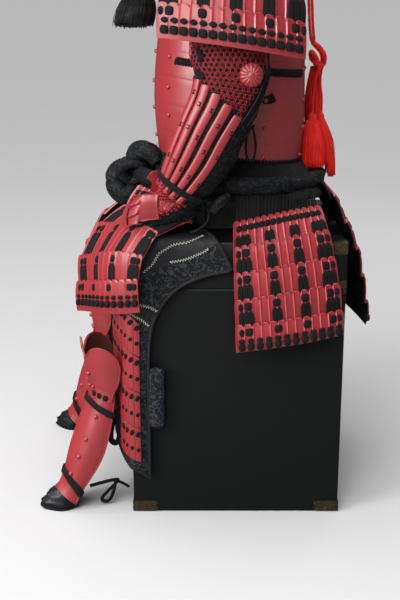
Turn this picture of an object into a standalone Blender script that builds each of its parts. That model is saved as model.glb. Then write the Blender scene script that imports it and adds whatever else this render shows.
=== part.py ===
"""Samurai armour seated on its storage box.

Metres, +Z up.  The origin is the centre of the box's underside.  +X is the wearer's left,
-Y is the front.  Every piece of the suit is one thin-walled solid; the box, its lid and the
plain wooden stand carry them.
"""
import math

import bpy
import bmesh
from mathutils import Matrix, Vector

GAP = 0.0003              # clearance between pieces that touch
CLOTH = 0.0022            # thickness of the cloth walls
PLATE = 0.0030            # thickness of the cuirass walls
LAME = 0.0026             # thickness of one row of lacquered scales
STEP = 0.0034             # how far each row stands proud of the row above

BOX_SIDE = 0.450          # storage box, square in plan
BOX_SEAM = 0.512          # height of the body, where the lid starts
BOX_TOP = 0.6120          # height to the top of the lid
BOX_WALL = 0.010

LEAN = math.tan(math.radians(6.2))    # the cuirass rings drop towards the back by this slope
RING_POWER = 2.3                      # squareness of the cuirass rings

TIERS = 5                 # rows of scales on each skirt panel
GUARD_TIERS = 4           # rows of scales on each shoulder guard

LACQUER = ("red_lacquer", (0.42, 0.045, 0.055), 0.35, 0.0)
LACING = ("black_lacing", (0.018, 0.017, 0.020), 0.85, 0.0)
BROCADE = ("black_brocade", (0.022, 0.026, 0.028), 0.75, 0.0)
CORD_RED = ("red_silk", (0.75, 0.015, 0.015), 0.6, 0.0)
BOX_BLACK = ("black_box_lacquer", (0.018, 0.020, 0.020), 0.4, 0.0)
STAND_WOOD = ("stand_wood", (0.050, 0.050, 0.040), 0.6, 0.0)
HAIR = ("black_horsehair", (0.008, 0.008, 0.008), 0.7, 0.0)
HELMET_BLACK = ("black_helmet_lacquer", (0.015, 0.014, 0.015), 0.3, 0.0)


# ---------------------------------------------------------------- helpers

def clear_scene():
    for item in list(bpy.data.objects):
        bpy.data.objects.remove(item, do_unlink=True)


def finish(finish_row):
    """The material for a row of (name, colour, roughness, metallic)."""
    name, colour, roughness, metallic = finish_row
    material = bpy.data.materials.get(name)
    if material is None:
        material = bpy.data.materials.new(name)
        material.use_nodes = True
        shader = material.node_tree.nodes["Principled BSDF"]
        shader.inputs["Base Color"].default_value = (*colour, 1.0)
        shader.inputs["Roughness"].default_value = roughness
        shader.inputs["Metallic"].default_value = metallic
    return material


def add_mesh(name, points, faces, finish_row, smooth=True):
    mesh = bpy.data.meshes.new(name)
    mesh.from_pydata([tuple(p) for p in points], [], faces)
    shape = bmesh.new()
    shape.from_mesh(mesh)
    bmesh.ops.recalc_face_normals(shape, faces=shape.faces)
    bmesh.ops.triangulate(shape, faces=shape.faces)
    shape.to_mesh(mesh)
    shape.free()
    if smooth:
        mesh.shade_smooth()
        mesh.set_sharp_from_angle(angle=math.radians(35))
    mesh.materials.append(finish(finish_row))
    thing = bpy.data.objects.new(name, mesh)
    bpy.context.scene.collection.objects.link(thing)
    return thing


def wall(name, outer, inner, finish_row, closed=False):
    """One closed wall between two grids of points of the same size.

    Rows run from top to bottom and columns anticlockwise seen from above; a closed wall
    joins its last column to its first.
    """
    rows, columns = len(outer), len(outer[0])
    points = [p for row in outer for p in row] + [p for row in inner for p in row]
    skin = rows * columns
    spans = columns if closed else columns - 1
    faces = []
    for r in range(rows - 1):
        for c in range(spans):
            a, b = r * columns + c, r * columns + (c + 1) % columns
            faces.append((a, a + columns, b + columns, b))
            faces.append((skin + b, skin + b + columns, skin + a + columns, skin + a))
    last = (rows - 1) * columns
    for c in range(spans):
        n = (c + 1) % columns
        faces.append((c, n, skin + n, skin + c))
        faces.append((last + n, last + c, skin + last + c, skin + last + n))
    if not closed:
        for r in range(rows - 1):
            left, right = r * columns, r * columns + columns - 1
            faces.append((left, skin + left, skin + left + columns, left + columns))
            faces.append((right, right + columns, skin + right + columns, skin + right))
    return add_mesh(name, points, faces, finish_row)


def solid(name, rings, finish_row):
    """A closed solid lofted through rings of points, with a flat cap at each end."""
    size = len(rings[0])
    points = [p for ring in rings for p in ring]
    faces = [tuple(range(size)), tuple((len(rings) - 1) * size + i for i in reversed(range(size)))]
    for r in range(len(rings) - 1):
        for i in range(size):
            a, b = r * size + i, r * size + (i + 1) % size
            faces.append((a, a + size, b + size, b))
    return add_mesh(name, points, faces, finish_row)


def block(name, low, high, finish_row, bevel):
    """A box between two corners, its edges rounded a little."""
    xs, ys, zs = zip(low, high)
    points = [(x, y, z) for z in zs for y in ys for x in xs]
    faces = [(0, 2, 3, 1), (4, 5, 7, 6), (0, 1, 5, 4), (2, 6, 7, 3), (0, 4, 6, 2), (1, 3, 7, 5)]
    thing = add_mesh(name, points, faces, finish_row, smooth=False)
    soften(thing, bevel)
    return thing


def soften(thing, width):
    bevel = thing.modifiers.new("Bevel", "BEVEL")
    bevel.width = width
    bevel.segments = 2
    bevel.limit_method = "ANGLE"
    bevel.angle_limit = math.radians(40)


def moved_out(rows, distance, closed=False):
    """The same grid moved along its own normals; plus is away from the wearer."""
    out = []
    count, size = len(rows), len(rows[0])
    for r, row in enumerate(rows):
        line = []
        for c, point in enumerate(row):
            down = Vector(rows[min(r + 1, count - 1)][c]) - Vector(rows[max(r - 1, 0)][c])
            if closed:
                along = Vector(row[(c + 1) % size]) - Vector(row[c - 1])
            else:
                along = Vector(row[min(c + 1, size - 1)]) - Vector(row[max(c - 1, 0)])
            line.append(Vector(point) + down.cross(along).normalized() * distance)
        out.append(line)
    return out


def through(points, count):
    """Read a smooth curve through the given points at equal steps of its parameter."""
    nodes = [Vector(p) for p in points]
    nodes = [nodes[0] * 2 - nodes[1]] + nodes + [nodes[-1] * 2 - nodes[-2]]
    spans = len(nodes) - 3
    line = []
    for i in range(count):
        t = spans * i / (count - 1)
        k = min(int(t), spans - 1)
        t -= k
        a, b, c, d = nodes[k:k + 4]
        line.append(0.5 * (2 * b + (c - a) * t + (2 * a - 5 * b + 4 * c - d) * t * t
                           + (3 * b - a - 3 * c + d) * t ** 3))
    return line


def table_value(table, column, at):
    """Linear reading of one column of a table whose first column rises."""
    if at <= table[0][0]:
        return table[0][column]
    for low, high in zip(table, table[1:]):
        if at <= high[0]:
            share = (at - low[0]) / (high[0] - low[0])
            return low[column] + (high[column] - low[column]) * share
    return table[-1][column]


def mirrored(rows):
    """The wearer's other side: x changes sign and the columns run the other way."""
    return [[Vector((-p[0], p[1], p[2])) for p in reversed(row)] for row in rows]


def both_sides(name, outer, inner, finish_row, closed=False):
    wall(name + "_L", outer, inner, finish_row, closed)
    wall(name + "_R", mirrored(outer), mirrored(inner), finish_row, closed)


# ---------------------------------------------------------------- box and stand

def storage_box():
    half = BOX_SIDE / 2
    inside = half - BOX_WALL
    open_cap("storage_box", half, inside, 0.0, BOX_SEAM - GAP / 2, BOX_WALL, True)
    open_cap("box_lid", half, inside, BOX_SEAM + GAP / 2, BOX_TOP, BOX_WALL, False)


def open_cap(name, half, inside, low, high, floor, opens_up):
    """A square tray: outer walls, inner walls and one closed end."""
    def square(size, z):
        return [(-size, -size, z), (size, -size, z), (size, size, z), (-size, size, z)]
    shut, rim = (low, high) if opens_up else (high, low)
    inner_shut = shut + floor if opens_up else shut - floor
    points = square(half, shut) + square(half, rim) + square(inside, rim) + square(inside, inner_shut)
    faces = [(3, 2, 1, 0), (12, 13, 14, 15)]
    for ring in (0, 4, 8):
        for i in range(4):
            j = (i + 1) % 4
            faces.append((ring + i, ring + j, ring + 4 + j, ring + 4 + i))
    soften(add_mesh(name, points, faces, BOX_BLACK, smooth=False), 0.0025)


STAND_HALF = 0.105        # half the block's breadth across the wearer
STAND_FRONT = -0.068
STAND_BACK = 0.092
BLOCK_TOP = 0.745
POST_Y = -0.030           # middle of the post
POST_HALF = 0.020
BAR_HALF = 0.135          # the shoulder bar's half length
BAR_LOW, BAR_HIGH = 1.105, 1.135
POST_TOP = 1.323          # just under the inside of the helmet


def stand():
    block("stand_block", (-STAND_HALF, STAND_FRONT, BOX_TOP + GAP),
          (STAND_HALF, STAND_BACK, BLOCK_TOP), STAND_WOOD, 0.004)
    half = [(POST_HALF, BLOCK_TOP + GAP), (POST_HALF, BAR_LOW), (BAR_HALF, BAR_LOW),
            (BAR_HALF, BAR_HIGH), (POST_HALF, BAR_HIGH), (POST_HALF, POST_TOP)]
    outline = half + [(-x, z) for x, z in reversed(half)]
    rings = [[(x, y, z) for x, z in outline] for y in (POST_Y - POST_HALF, POST_Y + POST_HALF)]
    soften(solid("stand_frame", rings, STAND_WOOD), 0.002)


# ---------------------------------------------------------------- cuirass and waist

# height on the upright axis, half breadth, front depth, back depth
CUIRASS = [(0.660, 0.160, 0.155, 0.130),
           (0.748, 0.171, 0.168, 0.140),
           (0.809, 0.179, 0.175, 0.145),
           (0.865, 0.183, 0.178, 0.148),
           (0.922, 0.183, 0.176, 0.147),
           (0.974, 0.178, 0.171, 0.146),
           (1.030, 0.165, 0.164, 0.143),
           (1.090, 0.150, 0.152, 0.138),
           (1.150, 0.135, 0.132, 0.130)]
SIDE_TOP = 1.000          # top of the walls under the arms
FRONT_TOP = 1.090         # top of the chest plate
BACK_TOP = 1.150          # top of the back plate
BUST_EDGE = math.radians(38)   # where the armhole starts to drop, from the middle
ARM_EDGE = math.radians(68)    # where it has dropped to the side walls


def ring_point(angle, level, grow=0.0):
    """A point of the cuirass ring at a level; angle 0 is the wearer's left, 90 the back."""
    breadth = table_value(CUIRASS, 1, level) + grow
    depth = table_value(CUIRASS, 3 if math.sin(angle) > 0 else 2, level) + grow
    c, s = math.cos(angle), math.sin(angle)
    radius = (abs(c / breadth) ** RING_POWER + abs(s / depth) ** RING_POWER) ** (-1 / RING_POWER)
    y = radius * s
    return Vector((radius * c, y, level - y * LEAN))


def ring_bottom(angle):
    """The waist edge dips a little at the front."""
    front = max(0.0, -math.sin(angle)) ** 2
    return 0.774 - 0.025 * front


def ring_top(angle):
    middle = FRONT_TOP if math.sin(angle) < 0 else BACK_TOP
    off = abs(abs(math.degrees(angle) % 180) - 90)
    share = (math.radians(off) - BUST_EDGE) / (ARM_EDGE - BUST_EDGE)
    share = min(max(share, 0.0), 1.0)
    return middle + (SIDE_TOP - middle) * share * share * (3 - 2 * share)


def cuirass():
    seam = math.radians(0.1)
    for name, start in (("cuirass_back", 0.0), ("cuirass_front", math.pi)):
        columns, rows = 19, 8
        outer = []
        for r in range(rows):
            line = []
            for c in range(columns):
                angle = start + seam + (math.pi - 2 * seam) * c / (columns - 1)
                low, high = ring_bottom(angle), ring_top(angle)
                line.append(ring_point(angle, high + (low - high) * r / (rows - 1)))
            outer.append(line)
        wall(name, outer, moved_out(outer, -PLATE), LACQUER)


# distance back, height: the strap's upper side over the shoulder, from the back to the chest
STRAP_ROUTE = [(0.1160, 1.1420), (0.1080, 1.1650), (0.0830, 1.1870), (0.0420, 1.1980),
               (-0.0050, 1.1960), (-0.0550, 1.1800), (-0.1000, 1.1530), (-0.1380, 1.1110)]
STRAP_NEAR, STRAP_FAR = 0.050, 0.100
STRAP_THICK = 0.004


def shoulder_straps():
    route = through([(0, y, z) for y, z in STRAP_ROUTE], 13)
    breadth = [STRAP_FAR, (STRAP_FAR + STRAP_NEAR) / 2, STRAP_NEAR]
    outer = [[Vector((x, p.y, p.z)) for x in breadth] for p in route]
    inner = moved_out(outer, STRAP_THICK)
    inner = [[p * 2 - q for p, q in zip(a, b)] for a, b in zip(outer, inner)]
    both_sides("shoulder_strap", outer, inner, LACQUER)


# the lacing curtain's lower edge: half breadth, front depth, back depth, height
CURTAIN_HEM = (0.199, 0.190, 0.172, 0.690)


def lacing_curtain():
    """The suspending cords between the waist of the cuirass and the skirt panels."""
    breadth, front, back, level = CURTAIN_HEM
    columns = 36
    rows = [[], [], []]
    for c in range(columns):
        angle = 2 * math.pi * c / columns
        top = ring_point(angle, ring_bottom(angle), -0.002)
        top.z -= 2 * GAP + PLATE * 0.2
        depth = back if math.sin(angle) > 0 else front
        hem = Vector((breadth * math.cos(angle), depth * math.sin(angle), level))
        rows[0].append(top)
        rows[1].append(top.lerp(hem, 0.5) + Vector((0, 0, 0.004)))
        rows[2].append(hem)
    wall("lacing_curtain", rows, moved_out(rows, -CLOTH, closed=True), LACING, closed=True)


SASH_RADIUS = 0.0165
SASH_RING = (0.2060, 0.2110, 0.1820)       # half breadth, front depth, back depth of its middle


def tube_ring(centre, along, radius, sides, flat=1.0):
    """A ring of points round a path; flat squeezes it upright."""
    side = along.cross(Vector((0, 0, 1))).normalized()
    rise = side.cross(along).normalized()
    return [centre + side * radius * math.cos(2 * math.pi * i / sides)
            + rise * radius * flat * math.sin(2 * math.pi * i / sides) for i in range(sides)]


def roll(name, route, radii, finish_row, sides=8, flat=1.0):
    """A solid roll of cloth along a route; radii has a value for each point."""
    rings = []
    for i, centre in enumerate(route):
        along = route[min(i + 1, len(route) - 1)] - route[max(i - 1, 0)]
        rings.append(tube_ring(centre, along.normalized(), radii[i], sides, flat))
    return solid(name, rings, finish_row)


def sash():
    """The waist sash: a rolled band round the waist, the knot, two bows and its end."""
    breadth, front, back = SASH_RING
    route = []
    opening = math.radians(6)          # the band's two ends go into the knot at the front
    count = 40
    for i in range(count + 1):
        angle = -math.pi / 2 + opening + (2 * math.pi - 2 * opening) * i / count
        depth = back if math.sin(angle) > 0 else front
        height = 0.727 + 0.009 * math.cos(2 * angle) - 0.004 * math.sin(angle)
        route.append(Vector((breadth * math.cos(angle), depth * math.sin(angle), height)))
    roll("sash_band", route, [SASH_RADIUS] * len(route), BROCADE)
    knot = [Vector((-0.0190 + 0.0380 * i / 6, -0.229, 0.738)) for i in range(7)]
    roll("sash_knot", knot, [0.010, 0.021, 0.025, 0.026, 0.025, 0.021, 0.010], BROCADE, sides=10)
    for name, points in (("sash_bow_upper", SASH_UPPER), ("sash_bow_lower", SASH_LOWER)):
        route = through(points, 15)
        roll(name, route, [0.0125 + 0.0035 * math.sin(math.pi * i / 14) for i in range(15)], BROCADE)
    route = through(SASH_END, 7)
    roll("sash_end", route, [0.0080 + 0.0030 * math.sin(math.pi * i / 6) for i in range(7)], BROCADE)


SASH_UPPER = [(0.038, -0.2380, 0.7380), (0.040, -0.2400, 0.7600), (0.046, -0.2270, 0.7790),
              (0.056, -0.2040, 0.7830), (0.066, -0.1880, 0.7660)]
SASH_LOWER = [(0.000, -0.2680, 0.7400), (0.002, -0.2830, 0.7140), (0.006, -0.2840, 0.6880),
              (0.014, -0.2720, 0.6690), (0.026, -0.2610, 0.6690), (0.034, -0.2560, 0.6910)]
SASH_END = [(0.2350, -0.0200, 0.7110), (0.2400, -0.0320, 0.7040), (0.2420, -0.0440, 0.6930),
            (0.2410, -0.0520, 0.6780)]


# ---------------------------------------------------------------- scale rows

def scale_rows(stations, tiers, bulge, columns=7):
    """The stepped face of a panel made of rows of scales, and the smooth back behind it.

    stations holds, for the top of each row and for the hem, the two ends of its edge.
    """
    starts = [Vector(s[0:3]) for s in stations]
    ends = [Vector(s[3:6]) for s in stations]
    base = []
    for start, end in zip(starts, ends):
        base.append([start.lerp(end, c / (columns - 1)) for c in range(columns)])
    lift = moved_out(base, 1.0)
    for r in range(len(base)):
        swell = bulge * min(0.25 + 0.05 * r + 0.075 * r * r, 1.0)
        for c in range(columns):
            share = c / (columns - 1)
            base[r][c] = base[r][c] + (lift[r][c] - base[r][c]) * swell * 4 * share * (1 - share)
    proud = moved_out(base, 1.0)
    outer, inner = [], []
    for r in range(tiers):
        top_out = [b + (p - b) * (LAME + STEP) for b, p in zip(base[r], proud[r])]
        low = [b.lerp(n, 0.94) for b, n in zip(base[r], base[r + 1])]
        low_proud = [(p - b).lerp(q - n, 0.94) for b, p, n, q in
                     zip(base[r], proud[r], base[r + 1], proud[r + 1])]
        low_out = [b + d * LAME for b, d in zip(low, low_proud)]
        if r == tiers - 1:
            low, low_out = base[tiers], [b + (p - b) * (LAME + STEP)
                                         for b, p in zip(base[tiers], proud[tiers])]
        outer += [top_out, low_out]
        inner += [base[r], low]
    return outer, inner


# Each row: the start edge x, y, z, then the end edge x, y, z.  Edges run anticlockwise
# seen from above, and the rows are the tops of the scale rows and the hem.
SHOULDER_GUARD = [(0.232, -0.118, 1.262, 0.232, 0.098, 1.236),
                  (0.256, -0.136, 1.205, 0.256, 0.106, 1.173),
                  (0.276, -0.148, 1.144, 0.276, 0.112, 1.110),
                  (0.290, -0.154, 1.083, 0.290, 0.115, 1.046),
                  (0.300, -0.157, 1.022, 0.300, 0.116, 0.982)]
PANEL_FRONT_CENTRE = [(-0.036, -0.203, 0.687, 0.036, -0.203, 0.687),
                      (-0.040, -0.232, 0.644, 0.040, -0.232, 0.644),
                      (-0.044, -0.272, 0.600, 0.044, -0.272, 0.600),
                      (-0.048, -0.298, 0.552, 0.048, -0.298, 0.552),
                      (-0.051, -0.306, 0.496, 0.051, -0.306, 0.496),
                      (-0.053, -0.309, 0.440, 0.053, -0.309, 0.440)]
PANEL_FRONT = [(0.046, -0.212, 0.688, 0.190, -0.080, 0.672),
               (0.052, -0.240, 0.650, 0.212, -0.094, 0.649),
               (0.062, -0.304, 0.599, 0.251, -0.162, 0.644),
               (0.070, -0.339, 0.548, 0.270, -0.191, 0.600),
               (0.075, -0.345, 0.486, 0.272, -0.202, 0.546),
               (0.076, -0.347, 0.420, 0.270, -0.199, 0.478)]
PANEL_SIDE = [(0.227, -0.012, 0.648, 0.188, 0.170, 0.672),
              (0.239, -0.011, 0.601, 0.225, 0.184, 0.634),
              (0.250, -0.009, 0.549, 0.235, 0.196, 0.583),
              (0.259, -0.007, 0.495, 0.240, 0.206, 0.529),
              (0.265, -0.005, 0.444, 0.243, 0.214, 0.473),
              (0.269, -0.003, 0.390, 0.245, 0.218, 0.421)]
PANEL_BACK = [(0.150, 0.191, 0.690, 0.008, 0.190, 0.690),
              (0.164, 0.216, 0.640, 0.008, 0.223, 0.640),
              (0.176, 0.240, 0.586, 0.008, 0.236, 0.586),
              (0.184, 0.252, 0.530, 0.008, 0.238, 0.530),
              (0.188, 0.262, 0.474, 0.008, 0.239, 0.474),
              (0.190, 0.262, 0.424, 0.008, 0.240, 0.424)]


def laced_panels():
    outer, inner = scale_rows(SHOULDER_GUARD, GUARD_TIERS, 0.030, 9)
    both_sides("shoulder_guard", outer, inner, LACQUER)
    outer, inner = scale_rows(PANEL_FRONT_CENTRE, TIERS, 0.006, 5)
    wall("skirt_panel_front", outer, inner, LACQUER)
    for name, stations, bulge in (("skirt_panel_thigh", PANEL_FRONT, 0.034),
                                  ("skirt_panel_side", PANEL_SIDE, 0.014),
                                  ("skirt_panel_back", PANEL_BACK, 0.005)):
        outer, inner = scale_rows(stations, TIERS, bulge)
        both_sides(name, outer, inner, LACQUER)


# ---------------------------------------------------------------- arms

# centre x, y, z, then half breadth in the arm's bending plane and half depth across it
SLEEVE = [(0.180, -0.012, 1.148, 0.060, 0.034),
          (0.214, -0.016, 1.095, 0.066, 0.038),
          (0.240, -0.022, 1.040, 0.071, 0.043),
          (0.254, -0.024, 0.990, 0.073, 0.046),
          (0.258, -0.020, 0.948, 0.071, 0.048),
          (0.258, -0.030, 0.900, 0.069, 0.048),
          (0.255, -0.055, 0.845, 0.066, 0.046),
          (0.249, -0.080, 0.786, 0.064, 0.042),
          (0.240, -0.111, 0.731, 0.052, 0.036),
          (0.233, -0.126, 0.711, 0.047, 0.034)]
FOREARM_TO = 8.70         # where the splints end along the sleeve's sections
SLEEVE_SEAM = 0.0033      # half the gap at each of the two seams, in radians


def sleeve_point(along, angle, grow=0.0):
    """A point of the sleeve; angle 0 faces out from the body and 90 faces back."""
    k = min(int(along), len(SLEEVE) - 2)
    t = along - k
    rows = [SLEEVE[min(max(i, 0), len(SLEEVE) - 1)] for i in (k - 1, k, k + 1, k + 2)]
    row = [0.5 * (2 * b + (c - a) * t + (2 * a - 5 * b + 4 * c - d) * t * t
                  + (3 * b - a - 3 * c + d) * t ** 3) for a, b, c, d in zip(*rows)]
    centre = Vector(row[:3])
    direction = (Vector(SLEEVE[min(k + 1, len(SLEEVE) - 1)][:3]) - Vector(SLEEVE[max(k - 1, 0)][:3]))
    after = (Vector(SLEEVE[min(k + 2, len(SLEEVE) - 1)][:3]) - Vector(SLEEVE[max(k, 0)][:3]))
    direction = direction.normalized().lerp(after.normalized(), t).normalized()
    back = Vector((1, 0, 0)).cross(direction).normalized()
    out = direction.cross(back).normalized()
    return centre + out * (row[4] + grow) * math.cos(angle) + back * (row[3] + grow) * math.sin(angle)


def sleeves():
    """Each sleeve is an outer and an inner half, sewn along its front and rear edges."""
    count, spans = 16, 8
    for name, start in (("sleeve_outer", -math.pi / 2), ("sleeve_inner", math.pi / 2)):
        outer, inner = [], []
        for r in range(count):
            along = (len(SLEEVE) - 1) * r / (count - 1)
            angles = [start + SLEEVE_SEAM + (math.pi - 2 * SLEEVE_SEAM) * c / spans
                      for c in range(spans + 1)]
            outer.append([sleeve_point(along, angle) for angle in angles])
            inner.append([sleeve_point(along, angle, -CLOTH) for angle in angles])
        both_sides(name, outer, inner, BROCADE)


# angle on the sleeve at the elbow end and the wrist end, and where the splint starts
SPLINTS = [(-62, -66, 4.25), (-40, -49, 4.45), (-18, -31, 4.70), (4, -12, 4.95), (26, 8, 5.20)]
SPLINT_HALF = 0.0100
SPLINT_TAPER = 0.0034     # how much narrower its half breadth is at the wrist
SPLINT_RISE = 0.0048


def splints():
    """Half-round iron bars along the forearm, made from the sleeve's points moved out."""
    for number, (upper, lower, start) in enumerate(SPLINTS, 1):
        rings = []
        for i in range(9):
            share = i / 8
            along = start + (FOREARM_TO - start) * share
            angle = math.radians(upper + (lower - upper) * share)
            foot = sleeve_point(along, angle, 0.0018)
            out = (sleeve_point(along, angle, 0.0118) - foot).normalized()
            ahead = sleeve_point(min(along + 0.2, 9), angle) - sleeve_point(along - 0.2, angle)
            side = ahead.cross(out).normalized()
            half = (SPLINT_HALF - SPLINT_TAPER * share) * (1.0 if 0 < i < 8 else 0.82)
            ring = []
            for j in range(6):
                turn = math.pi * j / 5
                ring.append(foot + side * half * math.cos(turn) + out * SPLINT_RISE * math.sin(turn))
            rings.append(ring)
        solid("forearm_splint_L_%d" % number, rings, LACQUER)
        flipped = [[Vector((-p.x, p.y, p.z)) for p in reversed(ring)] for ring in rings]
        solid("forearm_splint_R_%d" % number, flipped, LACQUER)


DISC_CENTRE = Vector((0.3075, 0.0180, 0.9550))
DISC_RADIUS = 0.0205
DISC_DOME = 0.0100


def elbow_discs():
    for side, sign in (("L", 1), ("R", -1)):
        rings = []
        for share, rise in ((1.0, 0.0), (1.0, 0.25), (0.8, 0.68), (0.45, 0.95), (0.14, 1.0)):
            rings.append([Vector((sign * (DISC_CENTRE.x + DISC_DOME * rise),
                                  DISC_CENTRE.y + DISC_RADIUS * share * math.cos(2 * math.pi * i / 16),
                                  DISC_CENTRE.z + DISC_RADIUS * share * math.sin(2 * math.pi * i / 16)))
                          for i in range(16)])
        solid("elbow_disc_" + side, rings, LACQUER)


# the plate over the back of the hand: front edge x, y, z, then rear edge x, y, z
HAND_GUARD = [(0.218, -0.219, 0.699, 0.250, -0.164, 0.718),
              (0.214, -0.230, 0.679, 0.256, -0.165, 0.702),
              (0.207, -0.238, 0.657, 0.254, -0.163, 0.684),
              (0.200, -0.239, 0.636, 0.248, -0.161, 0.668)]


def hand_guards():
    rows = []
    for row in HAND_GUARD:
        start, end = Vector(row[:3]), Vector(row[3:])
        line = []
        for c in range(7):
            share = c / 6
            line.append(start.lerp(end, share) + Vector((0.62, -0.30, 0.30)) * 0.022 * 4 * share * (1 - share))
        rows.append(line)
    both_sides("hand_guard", moved_out(rows, LAME), rows, LACQUER)


# ---------------------------------------------------------------- thigh guards

# inner edge, over the thigh, at the box's corner, and the outer edge: x, y, z of each
THIGH_CLOTH = [
    ((0.030, -0.108, 0.640), (0.130, -0.088, 0.630), (0.2300, -0.048, 0.6200), (0.2390, -0.012, 0.556)),
    ((0.030, -0.160, 0.636), (0.130, -0.138, 0.630), (0.2300, -0.105, 0.6200), (0.2390, -0.075, 0.542)),
    ((0.030, -0.224, 0.630), (0.130, -0.212, 0.632), (0.2330, -0.188, 0.6240), (0.2390, -0.125, 0.517)),
    ((0.033, -0.256, 0.592), (0.132, -0.249, 0.598), (0.2358, -0.2340, 0.5935), (0.2390, -0.158, 0.480)),
    ((0.038, -0.266, 0.516), (0.146, -0.260, 0.522), (0.2368, -0.232, 0.5100), (0.2390, -0.179, 0.434)),
    ((0.040, -0.270, 0.416), (0.150, -0.262, 0.420), (0.2370, -0.231, 0.4080), (0.2390, -0.187, 0.370)),
    ((0.040, -0.271, 0.312), (0.150, -0.262, 0.316), (0.2370, -0.231, 0.3030), (0.2390, -0.188, 0.280)),
    ((0.040, -0.271, 0.210), (0.150, -0.262, 0.214), (0.2370, -0.231, 0.2000), (0.2390, -0.188, 0.180)),
    ((0.040, -0.270, 0.124), (0.150, -0.261, 0.128), (0.2370, -0.230, 0.1120), (0.2390, -0.188, 0.086))]
THIGH_ROWS, THIGH_COLUMNS = 16, 11


def thigh_point(down, across):
    """A point of the thigh guard's outer face; both run from 0 to 1."""
    lines = [through(row, 25) for row in THIGH_CLOTH]
    at = across * 24
    k = min(int(at), 23)
    column = [line[k].lerp(line[k + 1], at - k) for line in lines]
    curve = through(column, 65)
    at = down * 64
    k = min(int(at), 63)
    return curve[k].lerp(curve[k + 1], at - k)


PLATES_TOP, PLATES_HEM = 0.555, 0.975       # share of the way down
PLATES_INNER, PLATES_OUTER = 0.040, 0.830   # share of the way across
PLATES_LIFT = 0.0021                        # the plates lie this far off the cloth


def thigh_guards():
    rows = [[thigh_point(r / (THIGH_ROWS - 1), c / (THIGH_COLUMNS - 1)) for c in range(THIGH_COLUMNS)]
            for r in range(THIGH_ROWS)]
    both_sides("thigh_cloth", rows, moved_out(rows, -CLOTH), BROCADE)
    plates = []
    for r in range(7):
        down = PLATES_TOP + (PLATES_HEM - PLATES_TOP) * r / 6
        plates.append([thigh_point(down, PLATES_INNER + (PLATES_OUTER - PLATES_INNER) * c / 9)
                       for c in range(10)])
    both_sides("thigh_plates", moved_out(plates, LAME + PLATES_LIFT),
               moved_out(plates, PLATES_LIFT), LACQUER)


# ---------------------------------------------------------------- shins

LEG_LEFT = Vector((0.176, -0.300, 0.0))
LEG_RIGHT = Vector((-0.230, -0.325, 0.0))
LEG_TURN = math.radians(12)       # the knees point a little outwards

# height, front, rear, half breadth, drop of the rear edge below the front
SHIN = [(0.285, -0.014, 0.028, 0.050, 0.010),
        (0.246, -0.027, 0.024, 0.051, 0.010),
        (0.198, -0.046, 0.014, 0.054, 0.012),
        (0.145, -0.064, -0.002, 0.053, 0.014),
        (0.095, -0.077, -0.029, 0.045, 0.016),
        (0.064, -0.088, -0.050, 0.038, 0.020),
        (0.048, -0.098, -0.062, 0.039, 0.030)]
KNEE = [(0.380, -0.030, 0.039, 0.062, 0.0),
        (0.356, -0.027, 0.040, 0.061, 0.0),
        (0.325, -0.023, 0.037, 0.057, 0.0),
        (0.293, -0.019, 0.033, 0.055, 0.0),
        (0.266, -0.019, 0.031, 0.053, 0.0)]
SHIN_WRAP = math.radians(100)     # how far round the leg each side reaches
KNEE_WRAP = math.radians(98)


def leg_section(row, wrap, columns, ridge):
    """A U-shaped section open at the back; ridge draws its middle out to a soft edge."""
    height, front, rear, half, drop = row
    line = []
    for c in range(columns):
        turn = -wrap + 2 * wrap * c / (columns - 1)
        share = (1 - math.cos(turn)) / (1 - math.cos(wrap))
        y = front + (rear - front) * share
        x = half * math.sin(turn) / max(math.sin(min(wrap, math.pi / 2)), 0.01)
        y -= ridge * max(0.0, 1 - abs(turn) / 0.5)
        line.append(Vector((x, y, height - drop * share)))
    return line


# degrees round the knee: height of the rim there; a point in front, a notch, a lobe on each side
KNEE_RIM = [(0, 0.006), (6, 0.002), (12, -0.012), (17, -0.026), (21, -0.031), (27, -0.026), (35, -0.014),
            (45, -0.007), (58, -0.004), (72, -0.008), (84, -0.018), (98, -0.036)]


def knee_rim(turn):
    at = abs(math.degrees(turn))
    for (low, start), (high, end) in zip(KNEE_RIM, KNEE_RIM[1:]):
        if at <= high:
            return start + (end - start) * (at - low) / (high - low)
    return KNEE_RIM[-1][1]


def legs():
    for side, place, turn in (("L", LEG_LEFT, LEG_TURN), ("R", LEG_RIGHT, -LEG_TURN)):
        stance = Matrix.Translation(place) @ Matrix.Rotation(turn, 4, "Z")
        outer = [[stance @ p for p in leg_section(row, SHIN_WRAP, 13, 0.004)] for row in SHIN]
        wall("shin_plate_" + side, outer, moved_out(outer, -LAME), LACQUER)
        outer = []
        for row in KNEE:
            line = leg_section(row, KNEE_WRAP, 19, 0.003)
            share = (row[0] - KNEE[-1][0]) / (KNEE[0][0] - KNEE[-1][0])
            for c, p in enumerate(line):
                angle = -KNEE_WRAP + 2 * KNEE_WRAP * c / 18
                p.z += 0.008 + knee_rim(angle) * share
            outer.append([stance @ p for p in line])
        outer = moved_out(outer, 0.0035)
        wall("knee_plate_" + side, outer, moved_out(outer, -LAME), LACQUER)
        foot_cover(side, stance)


# height, toe, heel, half breadth
FOOT = [(0.080, -0.070, -0.038, 0.024),
        (0.056, -0.076, -0.040, 0.027),
        (0.038, -0.086, -0.043, 0.030),
        (0.030, -0.118, -0.046, 0.032),
        (0.010, -0.133, -0.049, 0.033),
        (0.000, -0.130, -0.052, 0.032)]


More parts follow.
